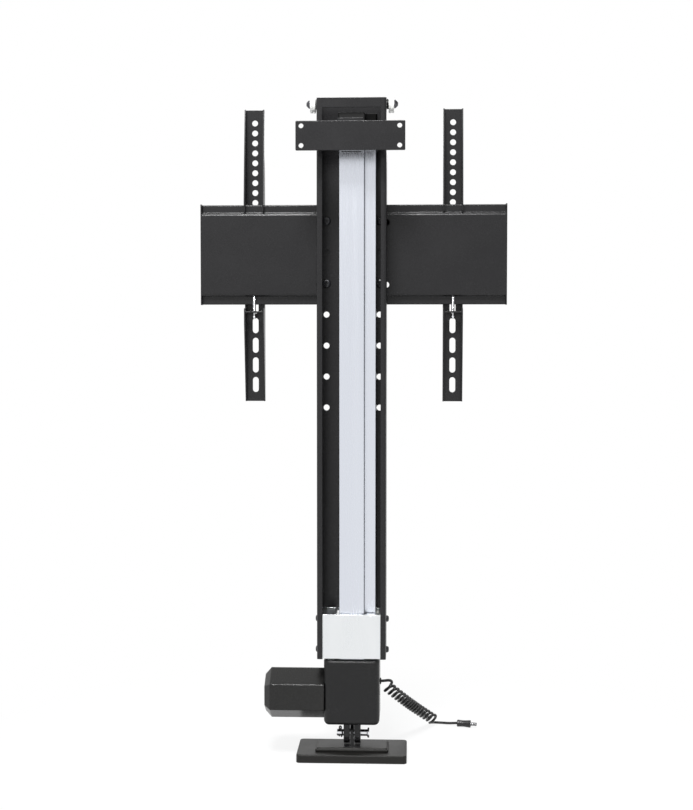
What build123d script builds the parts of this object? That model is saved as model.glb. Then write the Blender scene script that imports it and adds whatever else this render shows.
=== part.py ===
from build123d import *
import os
from math import pi, radians, tan

# Electric TV lift. A motor turns a screw inside a fixed column, and the screw
# lifts a steel channel that carries a plate with two arms for the television.
# X runs across the lift, +Y points to the television and Z is up. The origin is
# the middle of the base plate's underside, on the floor. Lengths are millimetres.

os.makedirs("parts", exist_ok=True)

# General fits
shaft_clearance = 0.05
guide_gap = 0.3
side_play = 0.1
bend_radius = 3.5
soft_edge = 0.8

# Base plate and raised foot plate
base_width = 164.0
base_depth = 90.0
base_thickness = 12.0
base_corner = 6.0
base_edge = 1.6
foot_width = 109.0
foot_depth = 48.0
foot_y = -4.0
foot_thickness = 6.0
foot_step = 2.0
foot_screw_r = 3.0
foot_screw_head_r = 5.6
foot_screw_sink = 0.3
foot_screw_cover = 2.0
foot_screw_spacing_x = 84.0
foot_screw_spacing_y = 28.0

# Hinge tongue, clevis fork, pin and spring clip
pin_y = -3.0
pin_height = 17.3
pin_r = 5.0
pin_left = -23.3
pin_right = 22.0
pin_head_r = 7.5
pin_head_length = 3.5
pin_flare = 1.2
tongue_thickness = 5.0
tongue_nose = 15.0
tongue_toe = 3.0
tongue_foot = 1.0
fork_width = 25.0
fork_nose = 15.5
fork_slot = 7.0
fork_roof_gap = 0.6
fork_inset = 4.0
fork_screw_r = 2.0
fork_screw_x = 8.0
fork_screw_back = 9.0
fork_screw_bite = 8.0
clip_wire_r = 0.9
clip_inset = 3.8
clip_foot = 7.0
clip_shoulder = 5.6
clip_tail = 4.0

# Gearbox casing and its far cover
gearbox_width = 82.8
gearbox_front_y = -35.0
gearbox_depth = 68.0
gearbox_height = 98.9
gearbox_pin_gap = 18.2
gearbox_corner = 8.0
gearbox_edge = 2.0
gearbox_wall = 5.0
gearbox_floor = 8.0
cover_thickness = 4.0
cover_screw_r = 2.0
cover_screw_head_r = 3.6
cover_screw_head = 2.2
cover_screw_inset = 9.0
cover_post_r = 7.0
cover_post_depth = 18.0

# Lead screw with its bearings
screw_r = 6.0
screw_journal_r = 5.0
screw_top_r = 4.0
bearing_r = 10.5
bearing_height = 8.0
bearing_inset = 5.0
pedestal_r = 13.5
pedestal_height = 12.0

# Worm drive
worm_r = 4.5
worm_groove = 1.2
worm_shaft_r = 3.5
worm_length = 26.0
worm_pitch = 3.14
wheel_teeth = 18
wheel_tip_r = 9.9
wheel_tooth = 1.7
wheel_thickness = 10.0
wheel_worm_gap = 0.2
bush_r = 6.0
bush_length = 8.0
bush_boss_r = 8.5

# Motor and its hexagonal cover
motor_y = -1.0
motor_drop = 57.4
motor_r = 24.0
motor_length = 70.0
motor_step = 3.0
motor_bore = 21.0
motor_screw_r = 1.5
motor_screw_head_r = 2.8
motor_screw_head = 2.0
motor_screw_offset = 16.0
motor_screw_bite = 6.0
motor_hex_r = 38.0
motor_cover_length = 89.4
motor_cover_wall = 2.6
motor_cover_chamfer = 9.0
motor_boss_r = 5.0
motor_boss_inset = 8.3
motor_boss_length = 20.0

# Column: an aluminium extrusion with a set-back ledge at its right
column_half = 18.5
column_front_y = -31.0
column_back_y = 14.0
ledge_width = 17.1
ledge_setback = 12.0
column_wall = 3.0
column_slot = 12.0
column_length = 798.6
column_edge = 1.0
port_r = 4.2
port_bore_r = 2.0
column_screw_head_r = 3.0
column_screw_head = 3.0
column_screw_bite = 18.0
cap_thickness = 7.0
cap_overhang = 1.2
cap_plug = 6.0
top_bush_height = 11.0
switch_size = (9.0, 9.0, 18.0)
switch_low_rise = 22.0
switch_high_drop = 45.0

# Top bracket and fixing plate
fixing_width = 157.0
fixing_height = 42.0
fixing_thickness = 4.0
fixing_standoff = 46.0
fixing_drop = 12.2
fixing_corner = 1.5
fixing_hole_r = 3.5
fixing_hole_spacing_x = 141.0
fixing_hole_spacing_z = 28.0
bracket_wall = 4.0
bracket_rise = 4.6
bracket_lift = 3.2
bracket_foot = 2.5
bracket_foot_right = 39.0
bracket_foot_depth = 32.0
bracket_screw_r = 2.5
bracket_screw_head_r = 4.4
bracket_screw_head = 2.8
bracket_screw_spacing = 20.0

# Lifting channel
channel_width = 102.0
channel_front_y = -41.0
channel_depth = 66.0
channel_wall = 2.5
channel_lip = 8.2
channel_length = 823.5
channel_lift = 2.1
top_bar_height = 14.1
web_hole_r = 4.5
web_hole_x = 40.0
web_hole_pitch = 46.7
web_hole_top_drop = 173.6
web_hole_rows = 7

# Carriage, glide pads and drive nut
carriage_rise = 0.5
carriage_height = 65.5
carriage_corner = 2.0
carriage_pocket_wall = 4.0
pad_thickness = 3.7
pad_height = 14.0
pad_inset = 2.0
pad_margin = 4.0
side_screw_r = 2.9
side_screw_head_r = 4.9
side_screw_head = 4.0
side_screw_taper = 20.0
side_screw_spacing = 46.4
side_screw_rise = 7.8
side_screw_y = -6.0
side_screw_bite = 6.0
nut_r = 9.5
nut_flange_r = 11.5
nut_flange = 4.0
nut_height = 20.0
nut_rise = 23.0
nut_arm_play = 1.0
nut_foot_width = 15.0

# Lid rollers at the channel's top
roller_r = 13.0
roller_width = 8.0
roller_drop = 5.0
roller_y = -10.0
roller_groove = 0.7
roller_edge = 1.0
axle_r = 4.0
axle_tail_r = 3.0
axle_nut_r = 5.5
axle_nut = 3.0
axle_head_r = 6.7
axle_head = 5.6
axle_head_taper = 12.0
washer_r = 7.4
washer_thickness = 2.7

# Plate for the television's arms, a hat section
plate_width = 461.4
plate_height = 150.0
plate_top_drop = 148.4
plate_lip = 12.8
plate_offset = 8.0
plate_wall = 2.5
plate_bend = 2.6
plate_end = 2.0
plate_end_rise = 0.6
plate_screw_r = 4.0
plate_screw_head_r = 6.6
plate_screw_head = 3.6
plate_screw_taper = 15.0
plate_nut_r = 6.8
plate_nut = 5.0
spare_hole_r = 4.5
spare_hole_x = 49.8
spare_hole_shift = 1.9

# Arms
arm_x = 150.0
arm_width = 30.0
arm_length = 441.2
arm_rise = 144.4
arm_wall = 2.0
arm_back_y = 50.0
arm_bend = 2.4
arm_end_top = 9.0
arm_end_bottom = 8.0
arm_depth = 27.0
arm_lip_play = 0.8
arm_hook_gap = 0.6
arm_hook_rise = 0.3
arm_hook_drop = 10.5
arm_notch_play = 5.7
arm_taper_top = 139.0
arm_taper_bulge = 1.2
arm_jaw = 22.1
arm_hole_r = 4.5
arm_hole_count = 9
arm_hole_pitch = 15.0
arm_hole_drop = 19.6
arm_slot_length = 23.0
arm_slot_pitch = 30.0
arm_slot_count = 5
arm_slot_rise = 25.2
tab_drop = 4.4
tab_thickness = 2.5
tab_depth = 11.0
lock_y = 29.5
lock_r = 2.5
lock_gap = 0.7
lock_length = 29.7
lock_head_r = 3.25
lock_head = 3.8

# Curly cord with its plug
cord_r = 2.1
cord_exit_y = 8.0
cord_exit_drop = 40.9
coil_r = 9.5
grommet_r = 3.6
grommet_flange_r = 5.0
grommet_flange = 2.0
plug_r = 6.0
plug_waist_r = 5.2
plug_length = 22.0
plug_shoulder = 3.0
plug_tip_r = 2.75
plug_tip_length = 10.0

# Heights that follow
foot_top = base_thickness + foot_thickness
pin_z = foot_top + pin_height
gearbox_bottom = pin_z + gearbox_pin_gap
gearbox_top = gearbox_bottom + gearbox_height
floor_z = gearbox_bottom + gearbox_floor
roof_z = gearbox_top - gearbox_floor
motor_z = gearbox_top - motor_drop
column_top = gearbox_top + column_length
channel_bottom = gearbox_top + channel_lift
channel_top = channel_bottom + channel_length
carriage_bottom = channel_bottom + carriage_rise
fixing_top = column_top - fixing_drop
fixing_bottom = fixing_top - fixing_height
bracket_bottom = fixing_bottom + bracket_lift
bracket_top = fixing_top + bracket_rise
plate_top = channel_top - plate_top_drop
plate_bottom = plate_top - plate_height
arm_top = plate_top + arm_rise
arm_bottom = arm_top - arm_length
arm_notch_z = plate_bottom - arm_notch_play
roller_z = channel_top - roller_drop
lock_top = plate_bottom + plate_lip - lock_gap
cord_exit_z = gearbox_top - cord_exit_drop
web_rows = [channel_top - web_hole_top_drop - row * web_hole_pitch for row in range(web_hole_rows)]
plate_rows = [web_rows[0], web_rows[2]]

# Depths that follow
gearbox_side = gearbox_width / 2
gearbox_back_y = gearbox_front_y + gearbox_depth
housing_back_y = gearbox_back_y - cover_thickness
housing_inner_y = gearbox_front_y + gearbox_wall
housing_inner_x = gearbox_side - gearbox_wall
screw_y = motor_y - wheel_tip_r - wheel_worm_gap - worm_r
column_right = column_half + ledge_width
ledge_y = column_front_y + ledge_setback
fixing_y = column_front_y - fixing_standoff
channel_side = channel_width / 2
channel_back_y = channel_front_y + channel_depth
channel_mid_y = channel_front_y + channel_depth / 2
channel_inner_x = channel_side - channel_wall
channel_opening = channel_width - 2 * channel_lip
lip_inner_y = channel_front_y + channel_wall
web_inner_y = channel_back_y - channel_wall
carriage_side = channel_inner_x - guide_gap
carriage_front_y = lip_inner_y + guide_gap
carriage_back_y = web_inner_y - guide_gap
carriage_margin = pad_thickness + guide_gap
plate_lip_y = channel_back_y + plate_offset
arm_front_y = arm_back_y - arm_depth
arm_inner_y = plate_lip_y + plate_wall + arm_lip_play

low = (Align.CENTER, Align.CENTER, Align.MIN)
high = (Align.CENTER, Align.CENTER, Align.MAX)
along_x = (0, 90, 0)
along_y = (-90, 0, 0)


def hand_in(builder, label):
    """Label a finished sub-part and write it as one STEP file."""
    builder.part.label = label
    export_step(builder.part, f"parts/{label}.step")


# Base plate with its raised foot plate
screw_cone = foot_screw_head_r - foot_screw_r

with BuildPart() as base_plate:
    with BuildSketch():
        RectangleRounded(base_width, base_depth, base_corner)
    extrude(amount=base_thickness)
    fillet(base_plate.faces().sort_by(Axis.Z)[-1].edges(), base_edge)
    with Locations(Location((0, foot_y, 0), (180, 0, 0))):
        with GridLocations(foot_screw_spacing_x, foot_screw_spacing_y, 2, 2):
            CounterSinkHole(foot_screw_r + shaft_clearance, foot_screw_head_r + 2 * foot_screw_sink,
                            base_thickness)
hand_in(base_plate, "base_plate")

with BuildPart() as foot_plate:
    with BuildSketch(Plane.XY.offset(base_thickness)):
        with Locations((0, foot_y)):
            RectangleRounded(foot_width, foot_depth, foot_step)
    extrude(amount=foot_thickness - foot_step)
    with BuildSketch(Plane.XY.offset(foot_top - foot_step)):
        with Locations((0, foot_y)):
            RectangleRounded(foot_width - 2 * foot_step, foot_depth - 2 * foot_step, foot_step)
    extrude(amount=foot_step)
    fillet(foot_plate.faces().sort_by(Axis.Z)[-1].edges(), soft_edge)
    with BuildSketch(Plane.XY.offset(base_thickness)):
        with Locations((0, foot_y)):
            with GridLocations(foot_screw_spacing_x, foot_screw_spacing_y, 2, 2):
                Circle(foot_screw_r + shaft_clearance)
    extrude(amount=foot_thickness - foot_screw_cover, mode=Mode.SUBTRACT)
hand_in(foot_plate, "foot_plate")

with BuildPart() as foot_screws:
    with Locations((0, foot_y, foot_screw_sink)):
        with GridLocations(foot_screw_spacing_x, foot_screw_spacing_y, 2, 2):
            Cone(foot_screw_head_r, foot_screw_r, screw_cone, align=low)
            Cylinder(foot_screw_r, foot_top - foot_screw_sink - foot_screw_cover - side_play, align=low)
hand_in(foot_screws, "foot_screws")

# Tongue: an upright plate on a thin foot, with a round nose about the pin
with BuildPart() as hinge_tongue:
    with BuildSketch(Plane.YZ):
        with Locations((pin_y, pin_z)):
            Circle(tongue_nose)
        with Locations((pin_y, foot_top + tongue_toe / 2)):
            Rectangle(2 * tongue_nose, tongue_toe)
        make_hull()
        with Locations((pin_y, pin_z)):
            Circle(pin_r + shaft_clearance, mode=Mode.SUBTRACT)
    extrude(amount=tongue_thickness / 2, both=True)
    with BuildSketch(Plane.XY.offset(foot_top)):
        with Locations((0, foot_y)):
            RectangleRounded(fork_width, foot_depth - 4 * foot_step, foot_step)
    extrude(amount=tongue_foot)
hand_in(hinge_tongue, "hinge_tongue")

# Clevis fork: two round-nosed prongs under a bridge that is let into the gearbox
fork_top = gearbox_bottom + fork_inset
fork_roof = pin_z + tongue_nose + fork_roof_gap
fork_screw_y = pin_y + fork_screw_back
fork_screw_places = [(-fork_screw_x, fork_screw_y), (fork_screw_x, fork_screw_y)]

with BuildPart() as clevis_fork:
    with BuildSketch(Plane.YZ):
        with Locations((pin_y, pin_z)):
            Circle(fork_nose)
        with Locations((pin_y, (pin_z + fork_top) / 2)):
            Rectangle(2 * fork_nose, fork_top - pin_z)
        with Locations((pin_y, pin_z)):
            Circle(pin_r + shaft_clearance, mode=Mode.SUBTRACT)
    extrude(amount=fork_width / 2, both=True)
    with BuildSketch(Plane.XZ.offset(-pin_y - fork_nose)):
        with Locations((0, (pin_z - fork_nose + fork_roof) / 2)):
            Rectangle(fork_slot, fork_roof - pin_z + fork_nose)
    extrude(amount=2 * fork_nose, mode=Mode.SUBTRACT)
    with BuildSketch(Plane.XY.offset(fork_top)):
        with Locations(*fork_screw_places):
            Circle(fork_screw_r + shaft_clearance)
    extrude(amount=-fork_screw_bite, mode=Mode.SUBTRACT)
hand_in(clevis_fork, "clevis_fork")

with BuildPart() as fork_screws:
    with BuildSketch(Plane.XY.offset(fork_top - fork_screw_bite + side_play)):
        with Locations(*fork_screw_places):
            Circle(fork_screw_r)
    extrude(amount=fork_screw_bite + floor_z - fork_top - side_play)
    with BuildSketch(Plane.XY.offset(floor_z)):
        with Locations(*fork_screw_places):
            Circle(cover_screw_head_r)
    extrude(amount=cover_screw_head)
hand_in(fork_screws, "fork_screws")

# Clevis pin with a flared head, held by a spring clip through its other end
clip_x = pin_left + clip_inset
pin_axis = Axis((0, pin_y, pin_z), (1, 0, 0))

with BuildPart() as clevis_pin:
    with BuildSketch(Plane.XZ.offset(-pin_y)):
        with BuildLine():
            Polyline((pin_left, pin_z), (pin_left, pin_z + pin_r - soft_edge),
                     (pin_left + soft_edge, pin_z + pin_r), (pin_right, pin_z + pin_r),
                     (pin_right + pin_flare, pin_z + pin_head_r),
                     (pin_right + pin_head_length, pin_z + pin_head_r),
                     (pin_right + pin_head_length, pin_z), close=True)
        make_face()
    revolve(axis=pin_axis)
    with Locations((clip_x, pin_y, pin_z)):
        Cylinder(clip_wire_r + side_play, 3 * pin_r, mode=Mode.SUBTRACT)
hand_in(clevis_pin, "clevis_pin")

with BuildPart() as spring_clip:
    with BuildLine(Plane.YZ.offset(clip_x)) as clip_path:
        outer_y = pin_y - pin_r - clip_wire_r - guide_gap
        Line((pin_y, pin_z - clip_foot), (pin_y, pin_z + clip_shoulder))
        eye_top = ((pin_y + outer_y) / 2, pin_z + clip_shoulder + (pin_y - outer_y) / 2)
        ThreePointArc((pin_y, pin_z + clip_shoulder), eye_top, (outer_y, pin_z + clip_shoulder))
        Line((outer_y, pin_z + clip_shoulder), (outer_y, pin_z - clip_tail))
    with BuildSketch(Plane.XY.offset(pin_z - clip_foot)):
        with Locations((clip_x, pin_y)):
            Circle(clip_wire_r)
    sweep(path=clip_path.wires()[0])
hand_in(spring_clip, "spring_clip")

# Gearbox casing: deep and open at its far side, with posts for the cover's screws
gearbox_mid_z = (gearbox_bottom + gearbox_top) / 2
cover_screw_dx = gearbox_width - 2 * cover_screw_inset
cover_screw_dz = gearbox_height - 2 * cover_screw_inset
port_x = column_half - port_r
ports = [(x, y) for x in (-port_x, port_x) for y in (column_front_y + port_r, column_back_y - port_r)]
motor_screw_places = [(motor_y - motor_screw_offset, motor_z), (motor_y + motor_screw_offset, motor_z)]
boss_offset = motor_hex_r - motor_boss_inset
boss_places = [(motor_y, motor_z - boss_offset), (motor_y, motor_z + boss_offset)]

with BuildPart() as gearbox_housing:
    with BuildSketch(Plane.XY.offset(gearbox_bottom)):
        with Locations((0, (gearbox_front_y + housing_back_y) / 2)):
            Rectangle(gearbox_width, housing_back_y - gearbox_front_y)
    extrude(amount=gearbox_height)
    fillet(gearbox_housing.edges().filter_by(Axis.Y).group_by(Axis.Z)[0], gearbox_corner)
    fillet(gearbox_housing.edges().filter_by(Axis.Z).group_by(Axis.Y)[0], gearbox_corner)
    chamfer(gearbox_housing.edges().filter_by(Axis.Y).group_by(Axis.Z)[-1], gearbox_edge)
    with BuildSketch(Plane.XZ.offset(-housing_back_y)):
        with Locations((0, gearbox_mid_z)):
            RectangleRounded(2 * housing_inner_x, roof_z - floor_z, soft_edge)
    extrude(amount=housing_back_y - housing_inner_y, mode=Mode.SUBTRACT)
    with BuildSketch(Plane.XZ.offset(-housing_back_y)):
        with Locations((0, gearbox_mid_z)):
            with GridLocations(cover_screw_dx, cover_screw_dz, 2, 2):
                Circle(cover_post_r)
    extrude(amount=cover_post_depth)
    with BuildSketch(Plane.XZ.offset(-housing_back_y)):
        with Locations((0, gearbox_mid_z)):
            with GridLocations(cover_screw_dx, cover_screw_dz, 2, 2):
                Circle(cover_screw_r + shaft_clearance)
    extrude(amount=cover_post_depth - gearbox_edge, mode=Mode.SUBTRACT)
    with Locations((0, screw_y, floor_z)):
        Cylinder(pedestal_r, pedestal_height, align=low)
    with Locations((0, screw_y, floor_z + pedestal_height)):
        Cylinder(bearing_r, bearing_height, align=high, mode=Mode.SUBTRACT)
    with Locations((housing_inner_x, motor_y, motor_z)):
        Cylinder(bush_boss_r, bush_length, rotation=along_x, align=high)
        Cylinder(bush_r, bush_length, rotation=along_x, align=high, mode=Mode.SUBTRACT)
    with Locations((-gearbox_side, motor_y, motor_z)):
        Cylinder(bush_r, gearbox_wall, rotation=along_x, align=low, mode=Mode.SUBTRACT)
    with BuildSketch(Plane.YZ.offset(-gearbox_side)):
        with Locations(*motor_screw_places, *boss_places):
            Circle(motor_screw_r + shaft_clearance)
    extrude(amount=gearbox_wall, mode=Mode.SUBTRACT)
    with BuildSketch(Plane.YZ.offset(gearbox_side)):
        with Locations((cord_exit_y, cord_exit_z)):
            Circle(grommet_r + shaft_clearance)
    extrude(amount=-gearbox_wall, mode=Mode.SUBTRACT)
    with BuildSketch(Plane.XY.offset(gearbox_bottom)):
        with Locations((0, pin_y)):
            Rectangle(fork_width, 2 * fork_nose)
    extrude(amount=fork_inset, mode=Mode.SUBTRACT)
    with BuildSketch(Plane.XY.offset(floor_z)):
        with Locations(*fork_screw_places):
            Circle(fork_screw_r + shaft_clearance)
    extrude(amount=-gearbox_floor, mode=Mode.SUBTRACT)
    with BuildSketch(Plane.XY.offset(gearbox_top)):
        with Locations(*ports):
            Circle(port_bore_r + shaft_clearance)
        with Locations((0, screw_y)):
            Circle(screw_r + guide_gap)
    extrude(amount=-gearbox_floor, mode=Mode.SUBTRACT)
    with Locations((0, screw_y, roof_z)):
        Cylinder(bearing_r, bearing_inset, align=low, mode=Mode.SUBTRACT)
hand_in(gearbox_housing, "gearbox_housing")

with BuildPart() as gearbox_cover:
    with BuildSketch(Plane.XZ.offset(-gearbox_back_y)):
        with Locations((0, gearbox_mid_z)):
            Rectangle(gearbox_width, gearbox_height)
    extrude(amount=cover_thickness)
    fillet(gearbox_cover.edges().filter_by(Axis.Y).group_by(Axis.Z)[0], gearbox_corner)
    chamfer(gearbox_cover.edges().filter_by(Axis.Y).group_by(Axis.Z)[-1], gearbox_edge)
    chamfer(gearbox_cover.faces().sort_by(Axis.Y)[-1].edges(), soft_edge)
    with BuildSketch(Plane.XZ.offset(-gearbox_back_y)):
        with Locations((0, gearbox_mid_z)):
            with GridLocations(cover_screw_dx, cover_screw_dz, 2, 2):
                Circle(cover_screw_r + shaft_clearance)
    extrude(amount=cover_thickness, mode=Mode.SUBTRACT)
hand_in(gearbox_cover, "gearbox_cover")

with BuildPart() as cover_screws:
    with Locations(Location((0, gearbox_back_y, gearbox_mid_z), along_y)):
        with GridLocations(cover_screw_dx, cover_screw_dz, 2, 2):
            Cylinder(cover_screw_head_r, cover_screw_head, align=low)
            Cylinder(cover_screw_r, cover_thickness + cover_screw_inset, align=high)
    chamfer(cover_screws.faces().group_by(Axis.Y)[-1].edges(), soft_edge)
hand_in(cover_screws, "cover_screws")

# Lead screw on its two bearings, with the worm wheel that drives it
screw_bottom = floor_z + pedestal_height - bearing_height + soft_edge
screw_shoulder = floor_z + pedestal_height + side_play
upper_bearing_z = roof_z + bearing_inset - bearing_height
top_bush_z = column_top - cap_plug - top_bush_height
screw_top = top_bush_z + top_bush_height - soft_edge

with BuildPart() as lead_screw:
    with BuildSketch(Plane.XZ.offset(-screw_y)):
        with BuildLine():
            Polyline((0, screw_bottom), (screw_journal_r, screw_bottom), (screw_journal_r, screw_shoulder),
                     (screw_r, screw_shoulder), (screw_r, top_bush_z - side_play),
                     (screw_top_r, top_bush_z - side_play), (screw_top_r, screw_top), (0, screw_top),
                     close=True)
        make_face()
    revolve(axis=Axis((0, screw_y, 0), (0, 0, 1)))
hand_in(lead_screw, "lead_screw")

with BuildPart() as worm_wheel:
    with BuildSketch(Plane.XY.offset(motor_z - wheel_thickness / 2)):
        with Locations((0, screw_y)):
            Circle(wheel_tip_r - wheel_tooth)
            with PolarLocations(wheel_tip_r - wheel_tooth, wheel_teeth):
                Rectangle(2 * wheel_tooth, wheel_tooth)
            Circle(screw_r + shaft_clearance, mode=Mode.SUBTRACT)
    extrude(amount=wheel_thickness)
hand_in(worm_wheel, "worm_wheel")

with BuildPart() as lower_bearing:
    with BuildSketch(Plane.XY.offset(floor_z + pedestal_height - bearing_height)):
        with Locations((0, screw_y)):
            Circle(bearing_r)
            Circle(screw_journal_r + shaft_clearance, mode=Mode.SUBTRACT)
    extrude(amount=bearing_height)
hand_in(lower_bearing, "lower_bearing")

with BuildPart() as upper_bearing:
    with BuildSketch(Plane.XY.offset(upper_bearing_z)):
        with Locations((0, screw_y)):
            Circle(bearing_r)
            Circle(screw_r + shaft_clearance, mode=Mode.SUBTRACT)
    extrude(amount=bearing_height)
hand_in(upper_bearing, "upper_bearing")

# Worm: a shaft out of the motor with grooved rings where it meets the wheel
groove_count = int(worm_length / worm_pitch)
shaft_end = housing_inner_x - soft_edge
motor_axis = Axis((0, motor_y, motor_z), (1, 0, 0))

with BuildPart() as worm_shaft:
    with Locations((-gearbox_side - motor_bore + soft_edge, motor_y, motor_z)):
        Cylinder(worm_shaft_r, gearbox_side + motor_bore - soft_edge + shaft_end,
                 rotation=along_x, align=low)
    with Locations((0, motor_y, motor_z)):
        Cylinder(worm_r, worm_length, rotation=along_x)
    with BuildSketch(Plane.XZ.offset(-motor_y)):
        for ring in range(groove_count):
            with Locations(((ring - (groove_count - 1) / 2) * worm_pitch, motor_z + worm_r)):
                Rectangle(worm_pitch / 2, worm_groove)
    revolve(axis=motor_axis, mode=Mode.SUBTRACT)
hand_in(worm_shaft, "worm_shaft")

with BuildPart() as worm_bushes:
    for bush_x, length in ((housing_inner_x - bush_length, bush_length), (-gearbox_side, gearbox_wall)):
        with BuildSketch(Plane.YZ.offset(bush_x)):
            with Locations((motor_y, motor_z)):
                Circle(bush_r)
                Circle(worm_shaft_r + shaft_clearance, mode=Mode.SUBTRACT)
        extrude(amount=length)
hand_in(worm_bushes, "worm_bushes")

with BuildPart() as motor_can:
    with BuildSketch(Plane.XZ.offset(-motor_y)):
        with BuildLine():
            motor_end = -gearbox_side - motor_length
            Polyline((-gearbox_side, motor_z), (-gearbox_side, motor_z + motor_r),
                     (motor_end + motor_step, motor_z + motor_r),
                     (motor_end, motor_z + motor_r - motor_step), (motor_end, motor_z), close=True)
        make_face()
    revolve(axis=motor_axis)
    with BuildSketch(Plane.YZ.offset(-gearbox_side)):
        with Locations((motor_y, motor_z)):
            Circle(worm_shaft_r + shaft_clearance)
    extrude(amount=-motor_bore, mode=Mode.SUBTRACT)
    with BuildSketch(Plane.YZ.offset(-gearbox_side)):
        with Locations(*motor_screw_places):
            Circle(motor_screw_r + shaft_clearance)
    extrude(amount=-motor_screw_bite - side_play, mode=Mode.SUBTRACT)
hand_in(motor_can, "motor_can")

with BuildPart() as motor_cover:
    with BuildSketch(Plane.YZ.offset(-gearbox_side)):
        with Locations((motor_y, motor_z)):
            RegularPolygon(motor_hex_r, 6, rotation=30)
    extrude(amount=-motor_cover_length)
    chamfer(motor_cover.faces().sort_by(Axis.X)[0].edges(), motor_cover_chamfer)
    offset(amount=-motor_cover_wall, openings=motor_cover.faces().sort_by(Axis.X)[-1])
    with BuildSketch(Plane.YZ.offset(-gearbox_side)):
        with Locations(*boss_places):
            Circle(motor_boss_r)
    extrude(amount=-motor_boss_length)
    with BuildSketch(Plane.YZ.offset(-gearbox_side)):
        with Locations(*boss_places):
            Circle(motor_screw_r + shaft_clearance)
    extrude(amount=-motor_screw_bite - side_play, mode=Mode.SUBTRACT)
hand_in(motor_cover, "motor_cover")

with BuildPart() as motor_screws:
    with BuildSketch(Plane.YZ.offset(-housing_inner_x)):
        with Locations(*motor_screw_places, *boss_places):
            Circle(motor_screw_head_r)
    extrude(amount=motor_screw_head)
    with BuildSketch(Plane.YZ.offset(-housing_inner_x)):
        with Locations(*motor_screw_places, *boss_places):
            Circle(motor_screw_r)
    extrude(amount=-gearbox_wall - motor_screw_bite)
hand_in(motor_screws, "motor_screws")

# Column: two chambers, a slot at the back for the nut and a screw port in each corner
with BuildPart() as column:
    with BuildSketch(Plane.XY.offset(gearbox_top)) as column_section:
        with Locations((-column_half, column_front_y)):
            Rectangle(2 * column_half, column_back_y - column_front_y, align=(Align.MIN, Align.MIN))
        with Locations((column_half, ledge_y)):
            Rectangle(ledge_width, column_back_y - ledge_y, align=(Align.MIN, Align.MIN))
        fillet(column_section.vertices(), column_edge)
        with Locations((-column_half + column_wall, column_front_y + column_wall)):
            Rectangle(2 * (column_half - column_wall), column_back_y - column_front_y - 2 * column_wall,
                      align=(Align.MIN, Align.MIN), mode=Mode.SUBTRACT)
        with Locations((column_half, ledge_y + column_wall)):
            Rectangle(ledge_width - column_wall, column_back_y - ledge_y - 2 * column_wall,
                      align=(Align.MIN, Align.MIN), mode=Mode.SUBTRACT)
        with Locations(*ports):
            Circle(port_r)
            Circle(port_bore_r, mode=Mode.SUBTRACT)
        with Locations((0, column_back_y)):
            Rectangle(column_slot, 3 * column_wall, mode=Mode.SUBTRACT)
    extrude(amount=column_length)
hand_in(column, "column")

with BuildPart() as column_screws:
    with BuildSketch(Plane.XY.offset(roof_z)):
        with Locations(*ports):
            Circle(column_screw_head_r)
    extrude(amount=-column_screw_head)
    with BuildSketch(Plane.XY.offset(roof_z)):
        with Locations(*ports):
            Circle(port_bore_r)
    extrude(amount=gearbox_floor + column_screw_bite)
hand_in(column_screws, "column_screws")

# End cap, with a skirt that reaches down round the column to the bracket
cap_skirt_z = bracket_top + guide_gap

with BuildPart() as column_cap:
    with BuildSketch(Plane.XY.offset(cap_skirt_z)) as cap_outline:
        with Locations((-column_half - cap_overhang, column_front_y - cap_overhang)):
            Rectangle(2 * (column_half + cap_overhang), column_back_y - column_front_y + 2 * cap_overhang,
                      align=(Align.MIN, Align.MIN))
        with Locations((column_right + cap_overhang, ledge_y - cap_overhang)):
            Rectangle(2 * ledge_width, column_back_y - ledge_y + 2 * cap_overhang,
                      align=(Align.MAX, Align.MIN))
        fillet(cap_outline.vertices(), column_edge + cap_overhang)
    extrude(amount=column_top + cap_thickness - cap_skirt_z)
    fillet(column_cap.faces().sort_by(Axis.Z)[-1].edges(), column_edge)
    with BuildSketch(Plane.XY.offset(cap_skirt_z)):
        with Locations((0, (column_front_y + column_back_y) / 2)):
            Rectangle(2 * (column_half + shaft_clearance),
                      column_back_y - column_front_y + 2 * shaft_clearance)
        with Locations((column_right + shaft_clearance, ledge_y - shaft_clearance)):
            Rectangle(2 * ledge_width, column_back_y - ledge_y + 2 * shaft_clearance,
                      align=(Align.MAX, Align.MIN))
    extrude(amount=column_top - cap_skirt_z, mode=Mode.SUBTRACT)
    with BuildSketch(Plane.XY.offset(column_top)):
        with Locations((0, (column_front_y + column_back_y) / 2)):
            Rectangle(2 * (column_half - 2 * port_r - guide_gap),
                      column_back_y - column_front_y - 2 * (column_wall + guide_gap))
    extrude(amount=-cap_plug)
hand_in(column_cap, "column_cap")

# Bush that steadies the lead screw's top end
top_bush_half = screw_y - column_front_y - 2 * port_r - guide_gap
with BuildPart() as top_bush:
    with BuildSketch(Plane.XY.offset(top_bush_z)):
        with Locations((0, screw_y)):
            Rectangle(2 * (column_half - column_wall - guide_gap), 2 * top_bush_half)
            Circle(screw_top_r + shaft_clearance, mode=Mode.SUBTRACT)
    extrude(amount=top_bush_height)
hand_in(top_bush, "top_bush")

# Limit switches in the ledge's chamber, one near each end of the travel
with BuildPart() as limit_switches:
    switch_x = column_right - column_wall
    switch_y = (ledge_y + column_back_y) / 2
    with Locations((switch_x, switch_y, gearbox_top + switch_low_rise),
                   (switch_x, switch_y, column_top - switch_high_drop)):
        Box(*switch_size, align=(Align.MAX, Align.CENTER, Align.CENTER))
hand_in(limit_switches, "limit_switches")

# Bracket of square tube that holds the fixing plate in front of the channel
bracket_mid_z = (bracket_bottom + bracket_top) / 2
bracket_screw_places = [(0, bracket_mid_z + side * bracket_screw_spacing / 2) for side in (-1, 1)]

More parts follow.
